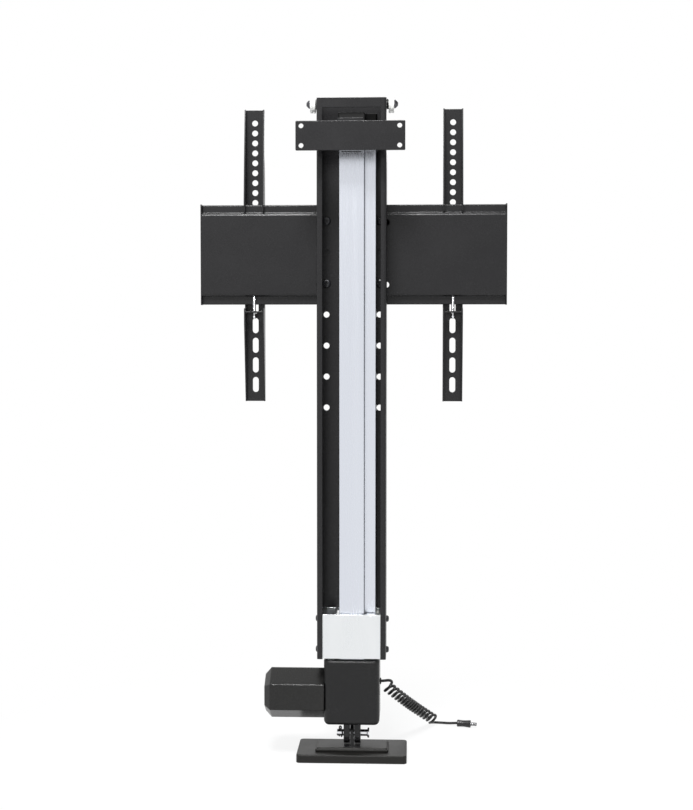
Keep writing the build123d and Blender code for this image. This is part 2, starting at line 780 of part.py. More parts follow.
with BuildPart() as mounting_bracket:
    with BuildSketch(Plane.XY.offset(bracket_bottom)):
        with Locations((0, (fixing_y + column_front_y) / 2)):
            Rectangle(2 * column_half, fixing_standoff)
            Rectangle(2 * (column_half - bracket_wall), fixing_standoff - 2 * bracket_wall,
                      mode=Mode.SUBTRACT)
    extrude(amount=bracket_top - bracket_bottom)
    fillet(mounting_bracket.edges().filter_by(Axis.Z).group_by(Axis.Y)[0], column_edge)
    with BuildSketch(Plane.XY.offset(bracket_bottom)):
        with Locations((-column_half, fixing_y)):
            Rectangle(column_half + bracket_foot_right, bracket_foot_depth, align=(Align.MIN, Align.MIN))
    extrude(amount=bracket_foot)
    with BuildSketch(Plane.XZ.offset(-column_front_y)):
        with Locations(*bracket_screw_places):
            Circle(bracket_screw_r + shaft_clearance)
    extrude(amount=bracket_wall, mode=Mode.SUBTRACT)
hand_in(mounting_bracket, "mounting_bracket")

with BuildPart() as bracket_screws:
    with BuildSketch(Plane.XZ.offset(-column_front_y + bracket_wall)):
        with Locations(*bracket_screw_places):
            Circle(bracket_screw_head_r)
    extrude(amount=bracket_screw_head)
    with BuildSketch(Plane.XZ.offset(-column_front_y + bracket_wall)):
        with Locations(*bracket_screw_places):
            Circle(bracket_screw_r)
    extrude(amount=-bracket_wall)
hand_in(bracket_screws, "bracket_screws")

with BuildPart() as fixing_plate:
    with BuildSketch(Plane.XZ.offset(-fixing_y)):
        with Locations((0, (fixing_top + fixing_bottom) / 2)):
            RectangleRounded(fixing_width, fixing_height, fixing_corner)
            with GridLocations(fixing_hole_spacing_x, fixing_hole_spacing_z, 2, 2):
                Circle(fixing_hole_r, mode=Mode.SUBTRACT)
    extrude(amount=fixing_thickness)
    chamfer(fixing_plate.faces().sort_by(Axis.Y)[0].outer_wire().edges(), soft_edge / 2)
hand_in(fixing_plate, "fixing_plate")

# Lifting channel: folded steel, open at the front between two lips
side_screw_zs = [carriage_bottom + side_screw_rise + step * side_screw_spacing for step in (0, 1)]

with BuildPart() as lift_channel:
    with BuildSketch(Plane.XY.offset(channel_bottom)):
        with Locations((0, channel_mid_y)):
            RectangleRounded(channel_width, channel_depth, bend_radius)
            RectangleRounded(2 * channel_inner_x, channel_depth - 2 * channel_wall,
                             bend_radius - channel_wall, mode=Mode.SUBTRACT)
        with Locations((0, channel_front_y)):
            Rectangle(channel_opening, 3 * channel_wall, mode=Mode.SUBTRACT)
    extrude(amount=channel_length)
    with BuildSketch(Plane.XZ.offset(-channel_back_y)):
        with Locations(*[(x, z) for x in (-web_hole_x, web_hole_x) for z in web_rows]):
            Circle(web_hole_r)
    extrude(amount=channel_wall, mode=Mode.SUBTRACT)
    with BuildSketch(Plane.YZ.offset(-channel_side)):
        with Locations(*[(side_screw_y, z) for z in side_screw_zs]):
            Circle(side_screw_r + shaft_clearance)
        with Locations((roller_y, roller_z)):
            Circle(axle_tail_r + shaft_clearance)
    extrude(amount=channel_width, mode=Mode.SUBTRACT)
hand_in(lift_channel, "lift_channel")

with BuildPart() as top_bar:
    with BuildSketch(Plane.XZ.offset(-channel_front_y)):
        with Locations((0, channel_top)):
            Rectangle(channel_opening, top_bar_height, align=(Align.CENTER, Align.MAX))
    extrude(amount=-channel_wall)
hand_in(top_bar, "top_bar")

# Carriage: an aluminium block round the column, screwed to the channel's sides
opening_left = -column_half - carriage_margin
opening_right = column_right + carriage_margin
opening_front = column_front_y - carriage_margin
opening_back = column_back_y + carriage_margin

with BuildPart() as carriage:
    with BuildSketch(Plane.XY.offset(carriage_bottom)) as carriage_section:
        with Locations((0, carriage_front_y)):
            Rectangle(2 * carriage_side, carriage_back_y - carriage_front_y,
                      align=(Align.CENTER, Align.MIN))
        fillet(carriage_section.vertices(), carriage_corner)
        with Locations((opening_left, opening_front)):
            Rectangle(2 * (column_half + carriage_margin), opening_back - opening_front,
                      align=(Align.MIN, Align.MIN), mode=Mode.SUBTRACT)
        with Locations((opening_right, opening_back)):
            Rectangle(2 * ledge_width, opening_back - ledge_y + carriage_margin,
                      align=(Align.MAX, Align.MAX), mode=Mode.SUBTRACT)
        with Locations((-carriage_side + carriage_pocket_wall + side_screw_bite, opening_back)):
            Rectangle(opening_left + carriage_side - 2 * carriage_pocket_wall - side_screw_bite,
                      opening_back - opening_front, align=(Align.MIN, Align.MAX), mode=Mode.SUBTRACT)
    extrude(amount=carriage_height)
    for side in (-1, 1):
        with BuildSketch(Plane.YZ.offset(side * carriage_side)):
            with Locations(*[(side_screw_y, z) for z in side_screw_zs]):
                Circle(side_screw_r + shaft_clearance)
        extrude(amount=-side * (side_screw_bite + side_play), mode=Mode.SUBTRACT)
hand_in(carriage, "carriage")

# Plastic pads that guide the carriage on each side of the column, low and high
pad_zs = [carriage_bottom + pad_inset, carriage_bottom + carriage_height - pad_inset - pad_height]
slot_edge = column_slot / 2 + pad_inset

with BuildPart() as glide_pads:
    for pad_z in pad_zs:
        with BuildSketch(Plane.XY.offset(pad_z)):
            with Locations((0, opening_front)):
                Rectangle(2 * (column_half - pad_margin), pad_thickness, align=(Align.CENTER, Align.MIN))
            with Locations((opening_left, (column_front_y + column_back_y) / 2)):
                Rectangle(pad_thickness, column_back_y - column_front_y - 2 * pad_margin,
                          align=(Align.MIN, Align.CENTER))
            with Locations((opening_right, (ledge_y + column_back_y) / 2)):
                Rectangle(pad_thickness, column_back_y - ledge_y - 2 * pad_margin,
                          align=(Align.MAX, Align.CENTER))
            with Locations((-slot_edge, opening_back)):
                Rectangle(column_half - slot_edge, pad_thickness, align=(Align.MAX, Align.MAX))
            with Locations((slot_edge, opening_back)):
                Rectangle(column_right - slot_edge - pad_inset, pad_thickness, align=(Align.MIN, Align.MAX))
        extrude(amount=pad_height)
hand_in(glide_pads, "glide_pads")

with BuildPart() as carriage_screws:
    for side in (-1, 1):
        with BuildSketch(Plane.YZ.offset(side * channel_side)):
            with Locations(*[(side_screw_y, z) for z in side_screw_zs]):
                Circle(side_screw_head_r)
        extrude(amount=side * side_screw_head, taper=side_screw_taper)
        with BuildSketch(Plane.YZ.offset(side * channel_side)):
            with Locations(*[(side_screw_y, z) for z in side_screw_zs]):
                Circle(side_screw_r)
        extrude(amount=-side * (channel_wall + guide_gap + side_screw_bite))
hand_in(carriage_screws, "carriage_screws")

# Drive nut on the lead screw, with the arm that reaches back through the slot
nut_z = carriage_bottom + nut_rise
nut_flange_z = nut_z + nut_height - nut_flange

with BuildPart() as drive_nut:
    with Locations((0, screw_y, nut_z)):
        Cylinder(nut_r, nut_height, align=low)
    with Locations((0, screw_y, nut_flange_z)):
        Cylinder(nut_flange_r, nut_flange, align=low)
    with Locations((0, screw_y, nut_z)):
        Cylinder(screw_r + shaft_clearance, nut_height, align=low, mode=Mode.SUBTRACT)
hand_in(drive_nut, "drive_nut")

with BuildPart() as nut_bracket:
    with BuildSketch(Plane.XY.offset(nut_z + nut_flange)):
        with Locations((0, screw_y)):
            Circle(nut_flange_r)
            Rectangle(column_slot - 2 * nut_arm_play, opening_back - screw_y,
                      align=(Align.CENTER, Align.MIN))
        with Locations((0, opening_back)):
            Rectangle(nut_foot_width, pad_thickness, align=(Align.CENTER, Align.MAX))
        with Locations((0, screw_y)):
            Circle(nut_r, mode=Mode.SUBTRACT)
    extrude(amount=nut_height - 2 * nut_flange)
hand_in(nut_bracket, "nut_bracket")

# Lid rollers at the channel's top, each on an axle with a washer
roller_start = channel_side + washer_thickness + side_play
axle_end = roller_start + roller_width + side_play


def make_roller(side, label):
    """A nylon roller with a chamfered rim and a shallow groove round its middle."""
    with BuildPart() as roller:
        with BuildSketch(Plane.XZ.offset(-roller_y)):
            with BuildLine():
                inner = side * roller_start
                outer = side * (roller_start + roller_width)
                middle = (inner + outer) / 2
                rim = roller_z + roller_r
                hub = roller_z + axle_r + shaft_clearance
                edge = side * roller_edge
                Polyline((inner, hub), (inner, rim - roller_edge), (inner + edge, rim),
                         (middle - edge, rim), (middle, rim - roller_groove), (middle + edge, rim),
                         (outer - edge, rim),
                         (outer, rim - roller_edge), (outer, hub), close=True)
            make_face()
        revolve(axis=Axis((0, roller_y, roller_z), (1, 0, 0)))
    hand_in(roller, label)


make_roller(-1, "lid_roller_left")
make_roller(1, "lid_roller_right")

with BuildPart() as roller_axles:
    for side in (-1, 1):
        with BuildSketch(Plane.YZ.offset(side * axle_end)):
            with Locations((roller_y, roller_z)):
                Circle(axle_head_r)
        extrude(amount=side * axle_head, taper=axle_head_taper)
        with BuildSketch(Plane.YZ.offset(side * axle_end)):
            with Locations((roller_y, roller_z)):
                Circle(axle_r)
        extrude(amount=side * (channel_side - axle_end))
        with BuildSketch(Plane.YZ.offset(side * channel_side)):
            with Locations((roller_y, roller_z)):
                Circle(axle_tail_r)
        extrude(amount=-side * channel_wall)
        with BuildSketch(Plane.YZ.offset(side * channel_inner_x)):
            with Locations((roller_y, roller_z)):
                RegularPolygon(axle_nut_r, 6)
        extrude(amount=-side * axle_nut)
hand_in(roller_axles, "roller_axles")

with BuildPart() as axle_washers:
    for side in (-1, 1):
        with BuildSketch(Plane.YZ.offset(side * channel_side)):
            with Locations((roller_y, roller_z)):
                Circle(washer_r)
                Circle(axle_r + shaft_clearance, mode=Mode.SUBTRACT)
        extrude(amount=side * washer_thickness)
hand_in(axle_washers, "axle_washers")

# Plate behind the channel: a hat section with closed ends, whose two lips carry the arms
web_mid_y = channel_back_y + plate_wall / 2
lip_mid_y = plate_lip_y + plate_wall / 2
leg_low = plate_bottom + plate_lip + plate_wall / 2
leg_high = plate_top - plate_lip - plate_wall / 2
plate_hole_places = [(x, z) for x in (-web_hole_x, web_hole_x) for z in plate_rows]
spare_places = [(x, z - spare_hole_shift) for x in (-spare_hole_x, spare_hole_x) for z in plate_rows]

with BuildPart() as tv_plate:
    with BuildSketch(Plane.YZ.offset(-plate_width / 2)):
        with BuildLine():
            FilletPolyline((lip_mid_y, plate_bottom), (lip_mid_y, leg_low), (web_mid_y, leg_low),
                           (web_mid_y, leg_high), (lip_mid_y, leg_high), (lip_mid_y, plate_top),
                           radius=plate_bend)
        trace(line_width=plate_wall)
    extrude(amount=plate_width)
    for side in (-1, 1):
        with BuildSketch(Plane.YZ.offset(side * plate_width / 2)):
            with Locations((channel_back_y, (plate_top + plate_bottom) / 2)):
                Rectangle(plate_offset + plate_wall, plate_height + 2 * plate_end_rise,
                          align=(Align.MIN, Align.CENTER))
        extrude(amount=-side * plate_end)
    with BuildSketch(Plane.XZ.offset(-channel_back_y)):
        with Locations(*plate_hole_places):
            Circle(plate_screw_r + side_play)
        with Locations(*spare_places):
            Circle(spare_hole_r)
    extrude(amount=-plate_wall, mode=Mode.SUBTRACT)
hand_in(tv_plate, "tv_plate")

with BuildPart() as plate_screws:
    with BuildSketch(Plane.XZ.offset(-web_inner_y)):
        with Locations(*plate_hole_places):
            Circle(plate_screw_head_r)
    extrude(amount=plate_screw_head, taper=plate_screw_taper)
    with BuildSketch(Plane.XZ.offset(-web_inner_y)):
        with Locations(*plate_hole_places):
            Circle(plate_screw_r)
    extrude(amount=-channel_wall - plate_wall - plate_nut)
hand_in(plate_screws, "plate_screws")

with BuildPart() as plate_nuts:
    with BuildSketch(Plane.XZ.offset(-channel_back_y - plate_wall)):
        with Locations(*plate_hole_places):
            RegularPolygon(plate_nut_r, 6)
            Circle(plate_screw_r + shaft_clearance, mode=Mode.SUBTRACT)
    extrude(amount=-plate_nut)
hand_in(plate_nuts, "plate_nuts")

# Arms: folded channels whose flanges hook over the upper lip
tab_z = arm_notch_z - tab_drop - tab_thickness
round_holes = [arm_top - arm_hole_drop - step * arm_hole_pitch for step in range(arm_hole_count)]
slot_holes = [arm_bottom + arm_slot_rise + step * arm_slot_pitch for step in range(arm_slot_count)]
hook_roof_z = plate_top + arm_hook_rise
hook_y = plate_lip_y - arm_hook_gap


def make_arm(place_x, label):
    """One arm: tapered flanges with a hook and a notch, and a web full of fixing holes."""
    with BuildPart() as arm:
        with BuildSketch(Plane.YZ.offset(place_x)):
            with BuildLine():
                taper_low = arm_notch_z - arm_jaw
                taper_high = arm_top - arm_taper_top
                top_front = (arm_back_y - arm_end_top, arm_top)
                bottom_front = (arm_back_y - arm_end_bottom, arm_bottom)
                taper_middle = ((top_front[0] + arm_front_y) / 2 - arm_taper_bulge,
                                (arm_top + taper_high) / 2)
                Polyline(top_front, (arm_back_y, arm_top), (arm_back_y, arm_bottom), bottom_front,
                         (arm_front_y, taper_low), (arm_front_y, arm_notch_z), (arm_inner_y, arm_notch_z),
                         (arm_inner_y, hook_roof_z), (hook_y, hook_roof_z),
                         (hook_y, hook_roof_z - arm_hook_drop), (arm_front_y, hook_roof_z - arm_hook_drop),
                         (arm_front_y, taper_high))
                ThreePointArc((arm_front_y, taper_high), taper_middle, top_front)
            make_face()
        extrude(amount=arm_width / 2, both=True)
        fillet(arm.edges().filter_by(Axis.Z).group_by(Axis.Y)[-1], arm_bend)
        with BuildSketch(Plane.XY.offset(arm_bottom)):
            with Locations((place_x, arm_back_y - arm_wall)):
                Rectangle(arm_width - 2 * arm_wall, 2 * arm_depth, align=(Align.CENTER, Align.MAX))
        extrude(amount=arm_length, mode=Mode.SUBTRACT)
        with BuildSketch(Plane.XY.offset(tab_z)):
            with Locations((place_x, arm_front_y + soft_edge)):
                Rectangle(arm_width - 2 * arm_wall, tab_depth, align=(Align.CENTER, Align.MIN))
            with Locations((place_x, lock_y)):
                Circle(lock_r + shaft_clearance, mode=Mode.SUBTRACT)
        extrude(amount=tab_thickness)
        with BuildSketch(Plane.XZ.offset(-arm_back_y)):
            with Locations(*[(place_x, z) for z in round_holes]):
                Circle(arm_hole_r)
            with Locations(*[(place_x, z) for z in slot_holes]):
                SlotOverall(arm_slot_length, 2 * arm_hole_r, rotation=90)
        extrude(amount=arm_wall, mode=Mode.SUBTRACT)
    hand_in(arm, label)


def make_lock_screw(place_x, label):
    """A screw through the arm's tab that presses against the plate's lower leg."""
    with BuildPart() as screw:
        with Locations((place_x, lock_y, lock_top)):
            Cylinder(lock_r, lock_length, align=high)
        with Locations((place_x, lock_y, lock_top - lock_length)):
            Cylinder(lock_head_r, lock_head, align=high)
        chamfer(screw.faces().sort_by(Axis.Z)[-1].edges(), soft_edge)
    hand_in(screw, label)


for side, side_name in ((-1, "left"), (1, "right")):
    make_arm(side * arm_x, f"arm_{side_name}")
    make_lock_screw(side * arm_x, f"lock_screw_{side_name}")

# Cord: a grommet, a short lead, the curly stretch as one fat tube, a tail and the plug
lead_start = gearbox_side + grommet_flange
lead_route = [(lead_start, cord_exit_y, cord_exit_z), (49.5, cord_exit_y, cord_exit_z), (53.8, 13.0, 109.1)]
coil_route = [(52.3, 10.0, 102.5), (76.5, 66.2, 69.3), (100.7, 122.3, 38.0), (124.9, 178.5, 8.8)]
tail_route = [(123.6, 175.4, 2.2), (131.0, 181.0, 2.1), (143.0, 179.5, 2.1), (154.0, 170.5, 3.4),
              (163.0, 167.0, 6.0)]
plug_start = (163.0, 167.0, 6.0)
plug_heading = (1.0, -0.22, 0.0)


def route_radii(points):
    """The largest arc that the two runs at each corner of a route allow."""
    runs = [Vector(*end) - Vector(*start) for start, end in zip(points, points[1:])]
    return [0.45 * min(before.length, after.length) / tan(radians(before.get_angle(after)) / 2)
            for before, after in zip(runs, runs[1:])]


def make_tube(points, radius, label):
    """A stretch of cord along a route of straight runs joined by tangent arcs."""
    radii = route_radii(points)
    with BuildPart() as tube:
        with BuildLine() as path:
            FilletPolyline(*points, radius=radii)
        with BuildSketch(Plane(origin=points[0], z_dir=Vector(*points[1]) - Vector(*points[0]))):
            Circle(radius)
        sweep(path=path.wires()[0])
    print(label, "radii", [round(bend, 1) for bend in radii], "volume share",
          round(tube.part.volume / (pi * radius ** 2 * path.wires()[0].length), 4))
    hand_in(tube, label)


with BuildPart() as cord_grommet:
    with BuildSketch(Plane.XZ.offset(-cord_exit_y)):
        with BuildLine():
            Polyline((housing_inner_x, cord_exit_z), (housing_inner_x, cord_exit_z + grommet_r),
                     (gearbox_side, cord_exit_z + grommet_r),
                     (gearbox_side, cord_exit_z + grommet_flange_r),
                     (lead_start - soft_edge, cord_exit_z + grommet_flange_r),
                     (lead_start, cord_exit_z + grommet_r), (lead_start, cord_exit_z), close=True)
        make_face()
    revolve(axis=Axis((0, cord_exit_y, cord_exit_z), (1, 0, 0)))
hand_in(cord_grommet, "cord_grommet")

make_tube(lead_route, cord_r, "cord_lead")
make_tube(coil_route, coil_r, "cord_coil")
make_tube(tail_route, cord_r, "cord_tail")

# Plug: a waisted moulded body with a round metal tip
plug_plane = Plane(origin=plug_start, x_dir=plug_heading, z_dir=(0, 0, 1))
plug_axis = Axis(plug_start, plug_heading)

with BuildPart() as plug_body:
    with BuildSketch(plug_plane):
        with BuildLine():
            Polyline((0, 0), (0, cord_r + soft_edge), (plug_shoulder, plug_r),
                     (plug_length / 2, plug_waist_r), (plug_length - soft_edge, plug_r),
                     (plug_length, plug_r - soft_edge), (plug_length, 0), close=True)
        make_face()
    revolve(axis=plug_axis)
hand_in(plug_body, "plug_body")

with BuildPart() as plug_tip:
    with BuildSketch(plug_plane):
        with BuildLine():
            tip_end = plug_length + plug_tip_length
            Polyline((plug_length, 0), (plug_length, plug_tip_r), (tip_end - soft_edge, plug_tip_r),
                     (tip_end, plug_tip_r - soft_edge), (tip_end, 0), close=True)
        make_face()
    revolve(axis=plug_axis)
hand_in(plug_tip, "plug_tip")
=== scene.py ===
from math import cos, pi, radians, sin

import bpy
from mathutils import Matrix, Vector


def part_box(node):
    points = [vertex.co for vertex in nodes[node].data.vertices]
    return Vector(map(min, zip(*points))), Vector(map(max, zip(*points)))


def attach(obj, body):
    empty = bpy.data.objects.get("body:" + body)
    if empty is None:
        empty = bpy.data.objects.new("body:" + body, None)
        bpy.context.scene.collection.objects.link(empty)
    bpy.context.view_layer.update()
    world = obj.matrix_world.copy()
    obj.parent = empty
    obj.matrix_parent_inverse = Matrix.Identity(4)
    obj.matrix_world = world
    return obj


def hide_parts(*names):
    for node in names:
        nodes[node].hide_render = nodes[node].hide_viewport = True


# Looks of an electric TV lift, in metres: X runs across, +Y points to the television, Z is up
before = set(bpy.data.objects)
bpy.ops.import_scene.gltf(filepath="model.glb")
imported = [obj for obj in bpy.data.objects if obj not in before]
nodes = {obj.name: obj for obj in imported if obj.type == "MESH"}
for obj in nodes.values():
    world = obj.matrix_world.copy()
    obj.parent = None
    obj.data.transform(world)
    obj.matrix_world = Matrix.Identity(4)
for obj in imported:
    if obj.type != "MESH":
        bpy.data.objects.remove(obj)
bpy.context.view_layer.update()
print("frame loaded:", len(nodes), "nodes")

# The photograph's camera
photoCamera = {"imageWidth": 693, "focalPixels": 1450.0, "sensor": 36.0,
               "place": (0.087, -2.162, 0.628), "lookDown": 2.618, "turnLeft": 2.541}

cameraData = bpy.data.cameras.new("photoCamera")
cameraData.sensor_fit = "HORIZONTAL"
cameraData.sensor_width = photoCamera["sensor"]
cameraData.lens = photoCamera["sensor"] * photoCamera["focalPixels"] / photoCamera["imageWidth"]
camera = bpy.data.objects.new("photoCamera", cameraData)
bpy.context.scene.collection.objects.link(camera)
camera.location = photoCamera["place"]
camera.rotation_euler = (radians(90 - photoCamera["lookDown"]), 0, radians(photoCamera["turnLeft"]))
bpy.context.scene.camera = camera
print("camera placed")


# Shader nodes that are used more than once. Each call returns the socket that the next node reads.
def noiseNode(tree, vector, size, detail):
    node = tree.nodes.new("ShaderNodeTexNoise")
    node.inputs["Scale"].default_value = 1 / size
    node.inputs["Detail"].default_value = detail
    tree.links.new(vector, node.inputs["Vector"])
    return node.outputs["Fac"]


def mathNode(tree, operation, first, second):
    node = tree.nodes.new("ShaderNodeMath")
    node.operation = operation
    tree.links.new(first, node.inputs[0])
    tree.links.new(second, node.inputs[1])
    return node.outputs[0]


def rangeNode(tree, value, taken, given):
    node = tree.nodes.new("ShaderNodeMapRange")
    node.inputs["From Min"].default_value, node.inputs["From Max"].default_value = taken
    node.inputs["To Min"].default_value, node.inputs["To Max"].default_value = given
    tree.links.new(value, node.inputs["Value"])
    return node.outputs["Result"]


def mixNode(tree, share, first, second):
    node = tree.nodes.new("ShaderNodeMixShader")
    for socket, source in zip(node.inputs, (share, first, second)):
        tree.links.new(source, socket)
    return node.outputs[0]


# Finishes. Sizes of spots, grain and rounded edge are in metres, and stretch draws a pattern out
# along an axis. What all of them share comes first: noiseReach is where spots times grain lies.
finishBase = {"spotDetail": 4, "grainDetail": 2, "noiseReach": (0.1, 0.45), "edgeSamples": 6,
              "reliefHeight": 0.0001}


def makeFinish(name, look):
    finish = bpy.data.materials.new(name)
    finish.use_nodes = True
    finish.diffuse_color = (*look["colour"], 1)
    tree = finish.node_tree
    shader = tree.nodes["Principled BSDF"]
    shader.inputs["Metallic"].default_value = look.get("metal", 0.0)
    shader.inputs["IOR"].default_value = look.get("ior", 1.5)

    coords = tree.nodes.new("ShaderNodeTexCoord")
    stretched = tree.nodes.new("ShaderNodeMapping")
    stretched.inputs["Scale"].default_value = look.get("stretch", (1, 1, 1))
    tree.links.new(coords.outputs["Object"], stretched.inputs["Vector"])
    spots = noiseNode(tree, stretched.outputs["Vector"], look["spots"], finishBase["spotDetail"])
    grain = noiseNode(tree, stretched.outputs["Vector"], look["grain"], finishBase["grainDetail"])

    tint = tree.nodes.new("ShaderNodeMix")
    tint.data_type = "RGBA"
    tint.inputs[6].default_value = (*look["colour"], 1)  # 6 and 7 are the colour inputs A and B
    tint.inputs[7].default_value = (*look["shade"], 1)
    tree.links.new(spots, tint.inputs[0])
    tree.links.new(tint.outputs[2], shader.inputs["Base Color"])

    polish = rangeNode(tree, mathNode(tree, "MULTIPLY", spots, grain), finishBase["noiseReach"],
                       (look["rough"] - look["roughSpread"], look["rough"] + look["roughSpread"]))
    tree.links.new(polish, shader.inputs["Roughness"])

    edge = tree.nodes.new("ShaderNodeBevel")
    edge.samples = finishBase["edgeSamples"]
    edge.inputs["Radius"].default_value = look["edge"]
    relief = tree.nodes.new("ShaderNodeBump")
    relief.inputs["Strength"].default_value = look["relief"]
    relief.inputs["Distance"].default_value = finishBase["reliefHeight"]
    tree.links.new(grain, relief.inputs["Height"])
    tree.links.new(edge.outputs["Normal"], relief.inputs["Normal"])
    tree.links.new(relief.outputs["Normal"], shader.inputs["Normal"])
    return finish


# The cross plate has the powder coat of the other sheet parts on bends with a larger radius
sheetLook = {"colour": (0.0066, 0.0064, 0.0072), "shade": (0.0108, 0.0106, 0.0114), "spots": 0.05,
             "grain": 0.0007, "ior": 1.40, "rough": 0.28, "roughSpread": 0.04, "relief": 0.20}
powderCoat = makeFinish("powderCoat", {**sheetLook, "edge": 0.0008})
foldedPaint = makeFinish("foldedPaint", {**sheetLook, "edge": 0.0028})
basePaint = makeFinish("basePaint", {
    "colour": (0.0070, 0.0066, 0.0058), "shade": (0.0108, 0.0102, 0.0092), "spots": 0.03, "grain": 0.0006,
    "ior": 1.35, "rough": 0.48, "roughSpread": 0.04, "relief": 0.15, "edge": 0.0028})
casingPaint = makeFinish("casingPaint", {
    "colour": (0.0042, 0.0042, 0.0045), "shade": (0.0070, 0.0070, 0.0073), "spots": 0.04, "grain": 0.0009,
    "ior": 1.39, "rough": 0.26, "roughSpread": 0.03, "relief": 0.12, "edge": 0.0085})
motorPlastic = makeFinish("motorPlastic", {
    "colour": (0.0056, 0.0055, 0.0052), "shade": (0.0082, 0.0080, 0.0076), "spots": 0.03, "grain": 0.0005,
    "ior": 1.42, "rough": 0.28, "roughSpread": 0.03, "relief": 0.10, "edge": 0.0028})
capPlastic = makeFinish("capPlastic", {
    "colour": (0.0040, 0.0040, 0.0040), "shade": (0.0065, 0.0065, 0.0065), "spots": 0.02, "grain": 0.0005,
    "ior": 1.30, "rough": 0.46, "roughSpread": 0.06, "relief": 0.25, "edge": 0.0004})
columnAluminium = makeFinish("columnAluminium", {
    "colour": (0.700, 0.730, 0.800), "shade": (0.740, 0.765, 0.825), "spots": 0.012, "grain": 0.0008,
    "stretch": (1, 1, 0.02), "metal": 1.0, "rough": 0.27, "roughSpread": 0.04, "relief": 0.02,
    "edge": 0.0005})
carriageAluminium = makeFinish("carriageAluminium", {
    "colour": (0.800, 0.825, 0.840), "shade": (0.860, 0.875, 0.885), "spots": 0.020, "grain": 0.0006,
    "stretch": (1, 1, 0.25), "metal": 1.0, "rough": 0.31, "roughSpread": 0.05, "relief": 0.12,
    "edge": 0.0005})
brightZinc = makeFinish("brightZinc", {
    "colour": (0.760, 0.770, 0.800), "shade": (0.860, 0.865, 0.885), "spots": 0.006, "grain": 0.0005,
    "metal": 1.0, "rough": 0.15, "roughSpread": 0.05, "relief": 0.08, "edge": 0.0003})
axleSteel = makeFinish("axleSteel", {
    "colour": (0.075, 0.075, 0.084), "shade": (0.140, 0.140, 0.152), "spots": 0.005, "grain": 0.0004,
    "metal": 1.0, "rough": 0.24, "roughSpread": 0.06, "relief": 0.08, "edge": 0.0003})
contactMetal = makeFinish("contactMetal", {
    "colour": (0.150, 0.150, 0.155), "shade": (0.240, 0.240, 0.245), "spots": 0.004, "grain": 0.0004,
    "metal": 1.0, "rough": 0.20, "roughSpread": 0.06, "relief": 0.06, "edge": 0.0002})
screwSteel = makeFinish("screwSteel", {
    "colour": (0.480, 0.480, 0.490), "shade": (0.600, 0.600, 0.605), "spots": 0.008, "grain": 0.0004,
    "stretch": (1, 1, 4), "metal": 1.0, "rough": 0.26, "roughSpread": 0.07, "relief": 0.15, "edge": 0.0002})
springSteel = makeFinish("springSteel", {
    "colour": (0.022, 0.022, 0.022), "shade": (0.050, 0.049, 0.048), "spots": 0.004, "grain": 0.0004,
    "metal": 1.0, "rough": 0.28, "roughSpread": 0.06, "relief": 0.10, "edge": 0.0002})
blackOxide = makeFinish("blackOxide", {
    "colour": (0.0120, 0.0120, 0.0140), "shade": (0.0240, 0.0240, 0.0270), "spots": 0.005, "grain": 0.0004,
    "rough": 0.26, "roughSpread": 0.08, "relief": 0.20, "edge": 0.0003})
motorSteel = makeFinish("motorSteel", {
    "colour": (0.220, 0.220, 0.225), "shade": (0.280, 0.280, 0.285), "spots": 0.015, "grain": 0.0006,
    "metal": 1.0, "rough": 0.38, "roughSpread": 0.06, "relief": 0.10, "edge": 0.0005})
bronze = makeFinish("bronze", {
    "colour": (0.480, 0.300, 0.100), "shade": (0.560, 0.370, 0.140), "spots": 0.010, "grain": 0.0005,
    "metal": 1.0, "rough": 0.30, "roughSpread": 0.07, "relief": 0.10, "edge": 0.0003})
whiteNylon = makeFinish("whiteNylon", {
    "colour": (0.860, 0.860, 0.835), "shade": (0.900, 0.900, 0.885), "spots": 0.008, "grain": 0.0005,
    "rough": 0.38, "roughSpread": 0.06, "relief": 0.12, "edge": 0.0002})
cordRubber = makeFinish("cordRubber", {
    "colour": (0.0080, 0.0080, 0.0082), "shade": (0.0130, 0.0130, 0.0132), "spots": 0.010, "grain": 0.0004,
    "ior": 1.45, "rough": 0.36, "roughSpread": 0.06, "relief": 0.15, "edge": 0.0002})

nodeFinishes = {
    powderCoat: "hinge_tongue clevis_fork fixing_plate mounting_bracket lift_channel top_bar arm_left "
                "arm_right",
    foldedPaint: "tv_plate",
    basePaint: "base_plate foot_plate",
    casingPaint: "gearbox_housing gearbox_cover",
    motorPlastic: "motor_cover",
    capPlastic: "column_cap limit_switches axle_washers",
    columnAluminium: "column",
    carriageAluminium: "carriage nut_bracket top_bush",
    brightZinc: "clevis_pin cover_screws fork_screws motor_screws column_screws foot_screws lock_screw_left "
                "lock_screw_right",
    contactMetal: "plug_tip",
    axleSteel: "roller_axles",
    springSteel: "spring_clip",
    screwSteel: "lead_screw worm_shaft lower_bearing upper_bearing",
    bronze: "worm_wheel worm_bushes drive_nut",
    blackOxide: "carriage_screws plate_screws plate_nuts bracket_screws",
    motorSteel: "motor_can",
    whiteNylon: "lid_roller_left lid_roller_right glide_pads",
    cordRubber: "cord_grommet cord_lead cord_coil cord_tail plug_body",
}
for finish, names in nodeFinishes.items():
    for node in names.split():
        nodes[node].data.materials.clear()
        nodes[node].data.materials.append(finish)
print("finishes made:", len(nodeFinishes))

smoothAngle = 32  # Degrees: faces that meet at less than this are shaded smooth
twistStep = 37  # Degrees that each next screw of a set is turned about its own axis


# Handling of pieces, as in the viewport
def choose(*objs):
    bpy.ops.object.select_all(action="DESELECT")
    for obj in objs:
        obj.select_set(True)
    bpy.context.view_layer.objects.active = objs[0]


def finishPiece(obj, name, body, finish, slotName, *replaced):
    choose(obj)
    bpy.ops.object.transform_apply(location=True, rotation=True, scale=True)
    bpy.ops.object.shade_smooth_by_angle(angle=radians(smoothAngle))
    obj.name = obj.data.name = name
    obj.data.materials.clear()
    obj.data.materials.append(finish)
    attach(obj, body)
    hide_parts(*replaced)


